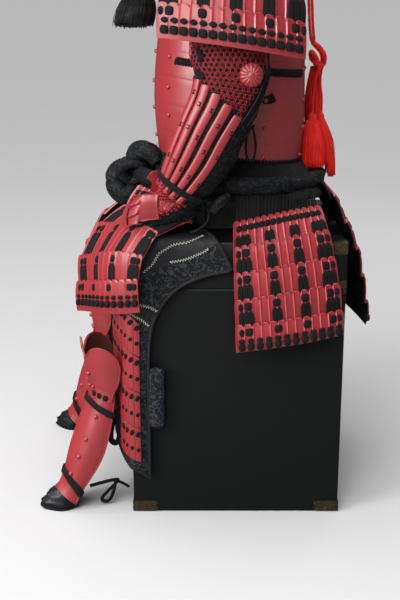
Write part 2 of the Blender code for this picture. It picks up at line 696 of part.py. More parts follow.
def foot_cover(side, stance):
    """A black cloth foot cover: open at the ankle, flat on the floor."""
    def ring(height, toe, heel, half, inset):
        middle, long_half = (toe + heel) / 2, (heel - toe) / 2 - inset
        points = []
        for i in range(16):
            turn = 2 * math.pi * i / 16
            taper = 1 - 0.22 * max(0.0, -math.sin(turn))
            points.append(stance @ Vector(((half - inset) * taper * math.cos(turn),
                                           middle + long_half * math.sin(turn), height)))
        return points
    rings = [ring(*FOOT[r], 0.0) for r in range(len(FOOT))][::-1]
    inner = [ring(*row, CLOTH) for row in FOOT[:-1]]
    floor = list(FOOT[-1])
    floor[0] = CLOTH
    inner.append(ring(*floor, CLOTH))
    solid("foot_cover_" + side, rings + inner, BROCADE)


# ---------------------------------------------------------------- back cord

BACK_CORD = [(0.000, 0.1520, 1.1100), (0.002, 0.1560, 1.0800), (0.004, 0.1580, 1.0450),
             (0.006, 0.1610, 1.0150), (0.008, 0.1650, 0.9960)]
BACK_CORD_DIAMETER = 0.0130


def back_cord():
    """The back cord in the shape it hangs: the double cord, its knot and its tassels."""
    curve = bpy.data.curves.new("back_cord", "CURVE")
    curve.dimensions = "3D"
    curve.bevel_depth = BACK_CORD_DIAMETER / 2
    curve.bevel_resolution = 2
    curve.use_fill_caps = True
    spline = curve.splines.new("POLY")
    points = through(BACK_CORD, 9)
    spline.points.add(len(points) - 1)
    for target, point in zip(spline.points, points):
        target.co = (*point, 1.0)
    curve.materials.append(finish(CORD_RED))
    bpy.context.scene.collection.objects.link(bpy.data.objects.new("back_cord", curve))
    knot = []
    for height, half_x, half_y in ((0.9940, 0.012, 0.010), (0.984, 0.024, 0.017), (0.966, 0.030, 0.019),
                                   (0.946, 0.024, 0.016), (0.930, 0.014, 0.011)):
        knot.append(oval(0.008, 0.171, height, half_x, half_y, 12))
    solid("back_knot", knot, CORD_RED)
    tassel = []
    for height, middle, half_x, half_y in ((0.9290, 0.172, 0.016, 0.010), (0.880, 0.182, 0.030, 0.016),
                                           (0.862, 0.182, 0.040, 0.024), (0.820, 0.183, 0.046, 0.030),
                                           (0.748, 0.188, 0.048, 0.034), (0.737, 0.2150, 0.048, 0.0120),
                                           (0.706, 0.2160, 0.046, 0.0130)):
        tassel.append(oval(0.012, middle, height, half_x, half_y, 14))
    solid("back_tassel", tassel, CORD_RED)


def oval(x, y, z, half_x, half_y, sides):
    return [Vector((x + half_x * math.cos(2 * math.pi * i / sides),
                    y + half_y * math.sin(2 * math.pi * i / sides), z)) for i in range(sides)]


# ---------------------------------------------------------------- helmet and chin guard

HEAD = Vector((0.0, -0.118, 1.262))      # middle of the helmet's rim
BOWL = (0.112, 0.132, 0.122)             # half breadth, half length, height
SHELL = 0.0025


def helmet():
    columns, rows = 24, 7
    outer = []
    for r in range(rows):
        rise = math.radians(80 - 80 * r / (rows - 1))
        outer.append([HEAD + Vector((BOWL[0] * math.cos(rise) * math.cos(2 * math.pi * c / columns),
                                     BOWL[1] * math.cos(rise) * math.sin(2 * math.pi * c / columns),
                                     BOWL[2] * math.sin(rise))) for c in range(columns)])
    wall("helmet_bowl", outer, moved_out(outer, -SHELL, closed=True), HELMET_BLACK, closed=True)
    outer, inner = [], []
    for r in range(4):
        share = r / 3
        line = []
        for c in range(13):
            turn = math.radians(-90 - 62 + 124 * c / 12)
            reach = 1.0 + share * 0.30 * math.cos(math.radians(-62 + 124 * c / 12) * 1.4) ** 2
            line.append(HEAD + Vector(((BOWL[0] * reach + 0.0035) * math.cos(turn),
                                       (BOWL[1] * reach + 0.0035) * math.sin(turn),
                                       0.006 - 0.018 * share)))
        outer.append(line)
        inner.append([p - Vector((0, 0, SHELL)) for p in line])
    wall("helmet_visor", outer, inner, HELMET_BLACK)
    neck_guard()
    chin_guard()


NECK_TIERS = 3
NECK_WRAP = math.radians(118)


def neck_guard():
    """Three rows of scales round the back and sides, flaring as they go down."""
    columns = 19
    base = []
    for r in range(NECK_TIERS + 1):
        share = r / NECK_TIERS
        line = []
        for c in range(columns):
            turn = math.pi / 2 - NECK_WRAP + 2 * NECK_WRAP * c / (columns - 1)
            line.append(HEAD + Vector(((BOWL[0] + 0.006 + 0.050 * share) * math.cos(turn),
                                       (BOWL[1] + 0.006 + 0.044 * share) * math.sin(turn),
                                       -0.004 - 0.053 * share)))
        base.append(line)
    proud = moved_out(base, 1.0)
    outer, inner = [], []
    for r in range(NECK_TIERS):
        low = [b.lerp(n, 0.94) for b, n in zip(base[r], base[r + 1])]
        outer.append([b + (p - b) * (LAME + STEP) for b, p in zip(base[r], proud[r])])
        outer.append([b + (p - q) * LAME for b, p, q in zip(low, proud[r], base[r])])
        inner += [base[r], low]
    wall("neck_guard", outer, inner, LACQUER)


def chin_guard():
    """A plain guard for the chin and cheeks, and the horsehair that hangs below it."""
    columns = 15
    outer = []
    for r in range(6):
        share = r / 5
        line = []
        for c in range(columns):
            turn = math.radians(-90 - 88 + 176 * c / (columns - 1))
            cheek = (1 - abs(math.sin(turn))) * 0.030
            high, low = 1.172 + cheek, 1.112 + cheek * 0.5
            swell = math.sin(math.pi * (0.25 + 0.6 * share)) * 0.012
            line.append(Vector(((0.066 + swell) * math.cos(turn), -0.150 + (0.080 + swell) * math.sin(turn),
                                high + (low - high) * share)))
        outer.append(line)
    wall("chin_guard", outer, moved_out(outer, -LAME), LACQUER)
    beard = []
    for height, middle, half_x, half_y in ((1.1080, -0.205, 0.036, 0.022), (1.085, -0.211, 0.046, 0.032),
                                           (1.060, -0.217, 0.052, 0.041), (1.034, -0.221, 0.054, 0.046)):
        beard.append(oval(0.0, middle, height, half_x, half_y, 12))
    solid("chin_fringe", beard, HAIR)


def main():
    clear_scene()
    storage_box()
    stand()
    cuirass()
    shoulder_straps()
    lacing_curtain()
    sash()
    laced_panels()
    sleeves()
    splints()
    elbow_discs()
    hand_guards()
    thigh_guards()
    legs()
    back_cord()
    helmet()


main()
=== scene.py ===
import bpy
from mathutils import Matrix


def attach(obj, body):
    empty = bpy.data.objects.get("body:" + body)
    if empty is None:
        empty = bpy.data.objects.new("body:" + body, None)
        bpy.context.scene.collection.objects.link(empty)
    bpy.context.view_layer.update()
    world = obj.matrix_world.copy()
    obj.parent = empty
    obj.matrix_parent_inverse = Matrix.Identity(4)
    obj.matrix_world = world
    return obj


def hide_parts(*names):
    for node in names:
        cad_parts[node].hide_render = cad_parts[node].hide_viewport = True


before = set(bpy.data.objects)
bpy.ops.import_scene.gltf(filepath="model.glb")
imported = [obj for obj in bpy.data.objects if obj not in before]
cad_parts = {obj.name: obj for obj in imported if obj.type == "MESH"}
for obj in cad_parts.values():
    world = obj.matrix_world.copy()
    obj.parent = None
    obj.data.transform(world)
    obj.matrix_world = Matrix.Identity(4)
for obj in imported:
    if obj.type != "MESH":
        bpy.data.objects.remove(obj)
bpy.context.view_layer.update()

import math
from functools import lru_cache

import bpy
import bmesh
from bpy.props import FloatProperty, FloatVectorProperty, IntProperty, PointerProperty
from mathutils import Matrix, Vector, noise

bl_info = {
    "name": "Samurai Armour",
    "version": (1, 0, 0),
    "blender": (4, 5, 0),
    "location": "View3D > Sidebar > Armour",
    "description": "Builds a laced suit of armour seated on its storage box",
    "category": "Add Mesh",
}

GAP = 0.0003              # clearance between pieces that touch
CLOTH = 0.0022            # thickness of the cloth walls
PLATE = 0.0030            # thickness of the cuirass walls
LAME = 0.0026             # thickness of one row of lacquered scales
STEP = 0.0056             # how far each row stands proud of the row above
BOX_SIDE = 0.450
BOX_SEAM = 0.512
BOX_TOP = 0.612
BOX_WALL = 0.010
LEAN = math.tan(math.radians(6.2))    # the cuirass rings drop towards the back by this slope
RING_POWER = 2.3                      # squareness of the cuirass rings
MAIL_SEED = 5             # the rings' small tilts come out the same each time
GOLDEN = 2.39996          # the turn from each thread to the next, so that they spread evenly


# ---------------------------------------------------------------- sizes and colours

class ArmourSizes(bpy.types.PropertyGroup):
    """Sizes of the small parts that repeat over the suit."""
    scallop: FloatProperty(name="Scallop", description="Height of the rounded top of each scale",
                           default=0.0074, min=0.0, max=0.012, unit="LENGTH")
    ridge: FloatProperty(name="Scale ridge", description="How far each scale's edge stands up",
                         default=0.0024, min=0.0, max=0.005, unit="LENGTH")
    lace_width: FloatProperty(name="Lace width", description="Width of one suspending lace",
                              default=0.0104, min=0.003, max=0.015, unit="LENGTH")
    lace_depth: FloatProperty(name="Lace depth", description="Thickness of one suspending lace",
                              default=0.0038, min=0.001, max=0.006, unit="LENGTH")
    rivet: FloatProperty(name="Rivet", description="Radius of the domed rivets",
                         default=0.0048, min=0.001, max=0.01, unit="LENGTH")
    mail_pitch: FloatProperty(name="Mail pitch", description="Distance between neighbouring rings",
                              default=0.0108, min=0.006, max=0.03, unit="LENGTH")
    curtain_strands: IntProperty(name="Curtain strands", description="Cords round the waist",
                                 default=132, min=24, max=300)
    tassel_threads: IntProperty(name="Tassel threads", description="Threads in each tassel",
                                default=210, min=20, max=600)


def colour_setting(label, value):
    return FloatVectorProperty(name=label, description=label + " of the suit", size=3,
                               subtype="COLOR", min=0.0, max=1.0, default=value)


class ArmourColours(bpy.types.PropertyGroup):
    """Main colours of the suit."""
    lacquer: colour_setting("Red lacquer", (0.320, 0.0135, 0.0190))
    lacing: colour_setting("Black lacing", (0.0046, 0.0044, 0.0050))
    cloth: colour_setting("Brocade ground", (0.0046, 0.0054, 0.0062))
    scroll: colour_setting("Brocade scrolls", (0.034, 0.042, 0.052))
    silk: colour_setting("Red silk", (0.900, 0.014, 0.009))
    box: colour_setting("Box lacquer", (0.0046, 0.0056, 0.0056))
    brass: colour_setting("Aged brass", (0.150, 0.115, 0.065))
    stitch: colour_setting("Cream stitching", (0.620, 0.600, 0.500))
    lining: colour_setting("Leather lining", (0.060, 0.020, 0.010))


# ---------------------------------------------------------------- curves and tables

def through(points, count):
    """Read a smooth curve through the given points at equal steps of its parameter."""
    nodes = [Vector(p) for p in points]
    nodes = [nodes[0] * 2 - nodes[1]] + nodes + [nodes[-1] * 2 - nodes[-2]]
    spans = len(nodes) - 3
    line = []
    for i in range(count):
        t = spans * i / (count - 1)
        k = min(int(t), spans - 1)
        t -= k
        line.append(between(*nodes[k:k + 4], t))
    return line


def between(a, b, c, d, t):
    """The smooth curve from b to c, with a before them and d after."""
    return 0.5 * (2 * b + (c - a) * t + (2 * a - 5 * b + 4 * c - d) * t * t
                  + (3 * b - a - 3 * c + d) * t ** 3)


def circle(count):
    """Equal turns once round."""
    return [math.tau * i / count for i in range(count)]


def heading(path, i):
    """The way a path runs at one of its points."""
    return (path[min(i + 1, len(path) - 1)] - path[max(i - 1, 0)]).normalized()


def table_value(table, column, at):
    """Linear reading of one column of a table whose first column rises."""
    if at <= table[0][0]:
        return table[0][column]
    for low, high in zip(table, table[1:]):
        if at <= high[0]:
            share = (at - low[0]) / (high[0] - low[0])
            return low[column] + (high[column] - low[column]) * share
    return table[-1][column]


def soft_step(low, high, at):
    share = min(max((at - low) / (high - low), 0.0), 1.0)
    return share * share * (3 - 2 * share)


def moved_out(rows, distance, closed=False):
    """The same grid moved along its own normals; distance may depend on the row and column."""
    out = []
    count, size = len(rows), len(rows[0])
    for r, row in enumerate(rows):
        line = []
        for c, point in enumerate(row):
            down = rows[min(r + 1, count - 1)][c] - rows[max(r - 1, 0)][c]
            if closed:
                along = row[(c + 1) % size] - row[c - 1]
            else:
                along = row[min(c + 1, size - 1)] - row[max(c - 1, 0)]
            far = distance(r, c) if callable(distance) else distance
            line.append(point + down.cross(along).normalized() * far)
        out.append(line)
    return out


def waver(x, y, z):
    """A smooth value about nought that drifts from place to place."""
    return noise.noise(Vector((x, y, z)))


def squircle(turn, power):
    """A point of a rounded square with a half side of one."""
    c, s = math.cos(turn), math.sin(turn)
    radius = (abs(c) ** power + abs(s) ** power) ** (-1 / power)
    return c * radius, s * radius


# ---------------------------------------------------------------- mesh gathering

class Shape:
    """Points, faces and texture coordinates gathered for one mesh."""

    def __init__(self):
        self.points, self.faces, self.uvs, self.kinds = [], [], [], []

    def add(self, points, faces, uvs=None, kind=0):
        start = len(self.points)
        self.points.extend(points)
        self.uvs.extend(uvs if uvs else [(0.0, 0.0)] * len(points))
        self.faces.extend(tuple(start + i for i in face) for face in faces)
        self.kinds.extend([kind] * len(faces))

    def slab(self, outer, inner, closed=False, kind=0, inner_kind=None):
        """A closed wall between two grids; rows run down and columns anticlockwise from above."""
        rows, columns = len(outer), len(outer[0])
        points = [p for row in outer for p in row] + [p for row in inner for p in row]
        across = [0.0]
        for c in range(1, columns):
            across.append(across[-1] + (outer[rows // 2][c] - outer[rows // 2][c - 1]).length)
        down = [0.0]
        for r in range(1, rows):
            down.append(down[-1] + (outer[r][columns // 2] - outer[r - 1][columns // 2]).length)
        uvs = [(across[c] * 10, -down[r] * 10) for r in range(rows) for c in range(columns)] * 2
        skin = rows * columns
        spans = columns if closed else columns - 1
        front, back, rim = [], [], []
        for r in range(rows - 1):
            for c in range(spans):
                a, b = r * columns + c, r * columns + (c + 1) % columns
                front.append((a, a + columns, b + columns, b))
                back.append((skin + b, skin + b + columns, skin + a + columns, skin + a))
        last = (rows - 1) * columns
        for c in range(spans):
            n = (c + 1) % columns
            rim.append((c, n, skin + n, skin + c))
            rim.append((last + n, last + c, skin + last + c, skin + last + n))
        if not closed:
            for r in range(rows - 1):
                left, right = r * columns, r * columns + columns - 1
                rim.append((left, skin + left, skin + left + columns, left + columns))
                rim.append((right, right + columns, skin + right + columns, skin + right))
        self.add(points, front + rim, uvs, kind)
        start = len(self.points) - len(points)
        self.faces.extend(tuple(start + i for i in face) for face in back)
        self.kinds.extend([kind if inner_kind is None else inner_kind] * len(back))

    def loft(self, rings, kind=0, uvs=None):
        """A closed tube through rings of points."""
        size = len(rings[0])
        points = [p for ring in rings for p in ring]
        last = (len(rings) - 1) * size
        faces = [tuple(range(size)), tuple(last + i for i in reversed(range(size)))]
        for r in range(len(rings) - 1):
            for i in range(size):
                a, b = r * size + i, r * size + (i + 1) % size
                faces.append((a, a + size, b + size, b))
        self.add(points, faces, uvs, kind)

    def band(self, path, outs, half_width, half_depth, sides=8, power=2.0, kind=0):
        """A flat or round cord along a path; outs are the directions its face looks in."""
        rings, uvs = [], []
        run = 0.0
        for i, centre in enumerate(path):
            ahead = heading(path, i)
            if i:
                run += (centre - path[i - 1]).length
            side = ahead.cross(outs[i]).normalized()
            face = side.cross(ahead).normalized()
            wide = half_width(i / (len(path) - 1)) if callable(half_width) else half_width
            deep = half_depth(i / (len(path) - 1)) if callable(half_depth) else half_depth
            ring = []
            for j in range(sides):
                x, y = squircle(math.tau * j / sides, power)
                ring.append(centre + side * wide * x + face * deep * y)
                uvs.append((j / sides, run * 100))
            rings.append(ring)
        self.loft(rings, kind, uvs)

    def tube(self, path, radius, sides=8, kind=0):
        """A round cord along a path."""
        outs = []
        up = Vector((0, 0, 1))
        for i in range(len(path)):
            ahead = heading(path, i)
            if not outs:
                up = up if abs(ahead.z) < 0.9 else Vector((1, 0, 0))
            up = (up - ahead * up.dot(ahead)).normalized()
            outs.append(up)
        self.band(path, outs, radius, radius, sides, kind=kind)

    def pillow(self, centre, right, up, out, half_x, half_y, height, power=4.0, sides=12):
        """A plump rounded knot that stands on a surface; a power near 2 makes it oval."""
        points, uvs = [], []
        levels = ((1.0, -0.5), (1.03, 0.15), (0.93, 0.62), (0.70, 0.90), (0.36, 1.0))
        for shrink, rise in levels:
            for j in range(sides):
                x, y = squircle(math.tau * (j + 0.5) / sides, power)
                points.append(centre + right * x * half_x * shrink + up * y * half_y * shrink
                              + out * height * rise)
                uvs.append((0.5 + 0.5 * x * shrink, 0.5 + 0.5 * y * shrink))
        faces = []
        for r in range(len(levels) - 1):
            for j in range(sides):
                a, b = r * sides + j, r * sides + (j + 1) % sides
                faces.append((a, b, b + sides, a + sides))
        faces.append(tuple(reversed(range(sides))))
        faces.append(tuple((len(levels) - 1) * sides + j for j in range(sides)))
        self.add(points, faces, uvs)

    def ring(self, centre, right, up, radius, thick, segments, sides):
        """A small wire ring in the plane of right and up."""
        out = right.cross(up)
        points, faces = [], []
        for i in range(segments):
            turn = math.tau * i / segments
            spoke = right * math.cos(turn) + up * math.sin(turn)
            for j in range(sides):
                roll = math.tau * j / sides
                points.append(centre + spoke * (radius + thick * math.cos(roll))
                              + out * thick * math.sin(roll))
        for i in range(segments):
            for j in range(sides):
                a, b = i * sides + j, i * sides + (j + 1) % sides
                c, d = ((i + 1) % segments) * sides + j, ((i + 1) % segments) * sides + (j + 1) % sides
                faces.append((a, c, d, b))
        self.add(points, faces)

    def mirrored(self):
        """The wearer's other side."""
        other = Shape()
        other.points = [Vector((-p[0], p[1], p[2])) for p in self.points]
        other.faces = [tuple(reversed(face)) for face in self.faces]
        other.uvs, other.kinds = list(self.uvs), list(self.kinds)
        return other


def build(name, shape, finishes, slot, replaces=(), sharp=40):
    """Make the piece from its gathered shape, with its finishes by name, and let it ride."""
    mesh = bpy.data.meshes.new(name)
    mesh.from_pydata([tuple(p) for p in shape.points], [], shape.faces)
    mesh.polygons.foreach_set("material_index", shape.kinds)
    corners = [0] * len(mesh.loops)
    mesh.loops.foreach_get("vertex_index", corners)
    layer = mesh.uv_layers.new(name="UVMap")
    layer.data.foreach_set("uv", [value for corner in corners for value in shape.uvs[corner]])
    for label in finishes:
        mesh.materials.append(finish(label))
    work = bmesh.new()
    work.from_mesh(mesh)
    bmesh.ops.recalc_face_normals(work, faces=work.faces)
    work.to_mesh(mesh)
    work.free()
    mesh.shade_smooth()
    if sharp < 180:
        mesh.set_sharp_from_angle(angle=math.radians(sharp))
    piece = bpy.data.objects.new(name, mesh)
    bpy.context.scene.collection.objects.link(piece)
    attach(piece, "root")
    if replaces:
        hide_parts(*replaces)
    return piece


def build_pair(name, shape, finishes, slot, node="", **settings):
    """The left piece and its mirrored partner on the right; node is the CAD node they replace."""
    return [build(name + side, one, finishes, slot, (node + side,) if node else (), **settings)
            for side, one in (("_L", shape), ("_R", shape.mirrored()))]


# ---------------------------------------------------------------- shader groups

def add_node(tree, kind, inputs=None, **settings):
    """Add a node, set its options and set or link its inputs."""
    made = tree.nodes.new(kind)
    for name, value in settings.items():
        setattr(made, name, value)
    for socket, value in (inputs or {}).items():
        if isinstance(value, bpy.types.NodeSocket):
            tree.links.new(value, made.inputs[socket])
        else:
            made.inputs[socket].default_value = value
    return made


def calc(tree, operation, *values):
    """A sum worked out from values or sockets."""
    return add_node(tree, "ShaderNodeMath", dict(enumerate(values)), operation=operation).outputs[0]


def mottle(tree, where, scale, detail, roughness=0.5):
    return add_node(tree, "ShaderNodeTexNoise", {"Vector": where, "Scale": scale, "Detail": detail,
                                                "Roughness": roughness}).outputs


def remap(tree, value, low, high, to_low=0.0, to_high=1.0):
    return add_node(tree, "ShaderNodeMapRange", {"Value": value, "From Min": low, "From Max": high,
                                                "To Min": to_low, "To Max": to_high}).outputs[0]


def mixed(tree, share, first, second):
    """Two colours mixed; 6 and 7 are the mix node's colour inputs."""
    return add_node(tree, "ShaderNodeMix", {"Factor": share, 6: first, 7: second},
                    data_type="RGBA").outputs[2]


def shader_group(name, *outputs, **inputs):
    """Turn a function that wires a group's inside into one that gives the finished group.

    Inputs and outputs named after a colour are colours and the rest are values.
    """
    def kind(value):
        return "NodeSocketColor" if isinstance(value, tuple) or value == "Colour" else "NodeSocketFloat"

    def wrap(wire):
        @lru_cache(None)
        def made():
            group = bpy.data.node_groups.new(name, "ShaderNodeTree")
            for label, default in inputs.items():
                group.interface.new_socket(name=label, in_out="INPUT",
                                           socket_type=kind(default)).default_value = default
            for label in outputs:
                group.interface.new_socket(name=label, in_out="OUTPUT", socket_type=kind(label))
            given = group.nodes.new("NodeGroupInput").outputs
            out = group.nodes.new("NodeGroupOutput").inputs
            for label, socket in zip(outputs, wire(group, given)):
                group.links.new(socket, out[label])
            return group
        return made
    return wrap


@shader_group("Uneven tone", "Colour", "Mask", Colour=(0.5, 0.5, 0.5, 1), Darker=(0.2, 0.2, 0.2, 1),
              Scale=12.0, Amount=0.5)
def tone_group(group, given):
    """Slow drift between two colours, with a finer mottle inside it."""
    where = add_node(group, "ShaderNodeTexCoord").outputs["Object"]
    broad = mottle(group, where, given["Scale"], 3.0, 0.6)
    fine = mottle(group, where, calc(group, "MULTIPLY", given["Scale"], 9.0), 2.0)
    mask = remap(group, calc(group, "MULTIPLY_ADD", fine["Fac"], 0.35, broad["Fac"]), 0.45, 0.95)
    share = calc(group, "MULTIPLY", mask, given["Amount"])
    return mixed(group, share, given["Colour"], given["Darker"]), mask


@shader_group("Fine grain", "Height", Scale=400.0, Coarse=0.4)
def grain_group(group, given):
    """Two sizes of fine unevenness for a bump."""
    where = add_node(group, "ShaderNodeTexCoord").outputs["Object"]
    fine = mottle(group, where, given["Scale"], 3.0, 0.6)
    coarse = mottle(group, where, calc(group, "MULTIPLY", given["Scale"], 0.12), 2.0)
    return calc(group, "MULTIPLY_ADD", coarse["Fac"], given["Coarse"], fine["Fac"]),


def split_uv(group):
    where = add_node(group, "ShaderNodeUVMap", uv_map="UVMap").outputs[0]
    return add_node(group, "ShaderNodeSeparateXYZ", {0: where}).outputs


@shader_group("Braid", "Height", "Mask", Across=3.0, Along=3.0)
def braid_group(group, given):
    """Plaited rows along a lace or knot, read from its texture coordinates; the mask marks the plaits'
    crests, which the braided finish paints lighter as a painted highlight.
    """
    split = split_uv(group)
    fold = calc(group, "PINGPONG", calc(group, "MULTIPLY", split[0], given["Across"]), 1.0)
    run = calc(group, "MULTIPLY_ADD", split[1], given["Along"], fold)
    wave = calc(group, "SINE", calc(group, "MULTIPLY", run, math.tau))
    return calc(group, "MULTIPLY_ADD", fold, 0.6, wave), remap(group, wave, -1.0, 0.6)


@shader_group("Twisted threads", "Height", "Mask", Plies=3.0, Slant=1.0)
def twist_group(group, given):
    """Slanting plies round a twisted cord, or straight threads when the slant is nought; the mask marks their
    crests, and the thread finish paints the grooves between them darker as painted shade.
    """
    split = split_uv(group)
    ply = calc(group, "MULTIPLY", split[0], given["Plies"])
    slide = calc(group, "MULTIPLY_ADD", split[1], given["Slant"], ply)
    wave = calc(group, "SINE", calc(group, "MULTIPLY", slide, math.tau))
    return wave, remap(group, wave, -1.0, 0.4)


@shader_group("Brocade scrolls", "Colour", "Height", "Mask", Ground=(0.01, 0.01, 0.01, 1),
              Scroll=(0.1, 0.1, 0.1, 1), Scale=34.0, Amount=1.0)
def scroll_group(group, given):
    """Woven scrolls and leaves on a plain ground, with the weave's own ribs."""
    where = add_node(group, "ShaderNodeTexCoord").outputs["Object"]
    bent = mottle(group, where, 46.0, 2.0)["Color"]
    for operation, inputs in (("SUBTRACT", {1: (0.5, 0.5, 0.5)}), ("SCALE", {"Scale": 0.018}),
                              ("ADD", {1: where})):
        bent = add_node(group, "ShaderNodeVectorMath", {0: bent, **inputs}, operation=operation).outputs[0]
    cells = add_node(group, "ShaderNodeTexVoronoi", {"Vector": bent, "Scale": given["Scale"],
                                                    "Randomness": 0.85})
    rings = calc(group, "SINE", calc(group, "MULTIPLY", cells.outputs["Distance"], 15.0))
    leaf = mottle(group, bent, calc(group, "MULTIPLY", given["Scale"], 1.7), 1.0)["Fac"]
    mask = calc(group, "MULTIPLY", remap(group, leaf, 0.40, 0.50), remap(group, rings, 0.0, 0.45))
    weave = add_node(group, "ShaderNodeTexWave", {"Vector": where, "Scale": 260.0, "Distortion": 0.4},
                     wave_type="BANDS", bands_direction="DIAGONAL").outputs["Fac"]
    share = calc(group, "MULTIPLY", calc(group, "MULTIPLY", mask, given["Amount"]),
                 calc(group, "MULTIPLY_ADD", weave, 0.35, 0.65))
    colour = mixed(group, share, given["Ground"], given["Scroll"])
    return colour, calc(group, "MULTIPLY_ADD", weave, 0.4, mask), mask


# ---------------------------------------------------------------- finishes

def shaded(colour, factor):
    return tuple(channel * factor for channel in colour[:3])


def opaque(colour):
    return (*colour, 1)


def new_material(name, specular, **constants):
    """A material's tree and shader, with the shader's constants set."""
    material = bpy.data.materials.new(name)
    material.use_nodes = True
    shader = material.node_tree.nodes["Principled BSDF"]
    shader.inputs["Specular IOR Level"].default_value = specular
    for label, value in constants.items():
        shader.inputs[label.replace("_", " ")].default_value = value
    return material, material.node_tree, shader


def place_group(tree, group, **inputs):
    made = add_node(tree, "ShaderNodeGroup", node_tree=group)
    for label, value in inputs.items():
        made.inputs[label].default_value = value
    return made.outputs


def connect(tree, shader, colour, rough, height, strength, distance):
    """Link the colour, the roughness where it drifts, and the bump."""
    bump = add_node(tree, "ShaderNodeBump", {"Height": height, "Strength": strength,
                                            "Distance": distance}).outputs["Normal"]
    for label, socket in (("Base Color", colour), ("Roughness", rough), ("Normal", bump)):
        if socket:
            tree.links.new(socket, shader.inputs[label])


def worn_finish(name, colour, darker, scale, amount, rough_low, rough_high, grain, depth,
                metallic=0.0, coat=0.0, specular=0.5):
    """A lacquer, leather, metal or paint whose tone, gloss and surface all drift a little."""
    material, tree, shader = new_material(name, specular, Metallic=metallic, Coat_Weight=coat,
                                          Coat_Roughness=0.3)
    tone = place_group(tree, tone_group(), Colour=opaque(colour), Darker=opaque(darker), Scale=scale,
                       Amount=amount)
    rough = remap(tree, tone["Mask"], 0.0, 1.0, rough_low, rough_high)
    connect(tree, shader, tone["Colour"], rough, place_group(tree, grain_group(), Scale=grain)["Height"],
            0.5, depth)
    return material


# Braid: the plaits' crests take the lighter colour as a painted highlight and the hollows keep the darker
# colour as painted shade, over a bump from the same plaits.
def braided_finish(name, colour, light, across, along, depth):
    material, tree, shader = new_material(name, 0.18, Roughness=0.75, Sheen_Weight=0.02)
    braid = place_group(tree, braid_group(), Across=across, Along=along)
    tone = place_group(tree, tone_group(), Colour=opaque(colour), Darker=opaque(shaded(colour, 0.5)),
                       Scale=60.0, Amount=0.8)
    connect(tree, shader, mixed(tree, braid["Mask"], tone["Colour"], opaque(light)), None,
            braid["Height"], 0.8, depth)
    return material


def brocade_finish(name, ground, scroll, scale, amount):
    material, tree, shader = new_material(name, 0.20)
    scrolls = place_group(tree, scroll_group(), Ground=opaque(ground), Scroll=opaque(scroll),
                          Scale=scale, Amount=amount)
    connect(tree, shader, scrolls["Colour"], remap(tree, scrolls["Mask"], 0.0, 1.0, 0.77, 0.50),
            scrolls["Height"], 0.6, 0.0006)
    return material


# Threads: the grooves between them are painted darker (the colour times deep) as painted shade, over a bump
# from the same threads.
def thread_finish(name, colour, light, plies, slant, depth, roughness, sheen=0.05, deep=0.45):
    material, tree, shader = new_material(name, 0.2, Roughness=roughness, Sheen_Weight=sheen)
    threads = place_group(tree, twist_group(), Plies=plies, Slant=slant)
    tone = place_group(tree, tone_group(), Colour=opaque(light), Darker=opaque(colour), Scale=45.0,
                       Amount=0.7)
    # painted shade: the grooves take the colour times deep, and the crests take the thread's drifting tone
    connect(tree, shader, mixed(tree, threads["Mask"], opaque(shaded(colour, deep)), tone["Colour"]), None,
            threads["Height"], 0.7, depth)
    return material
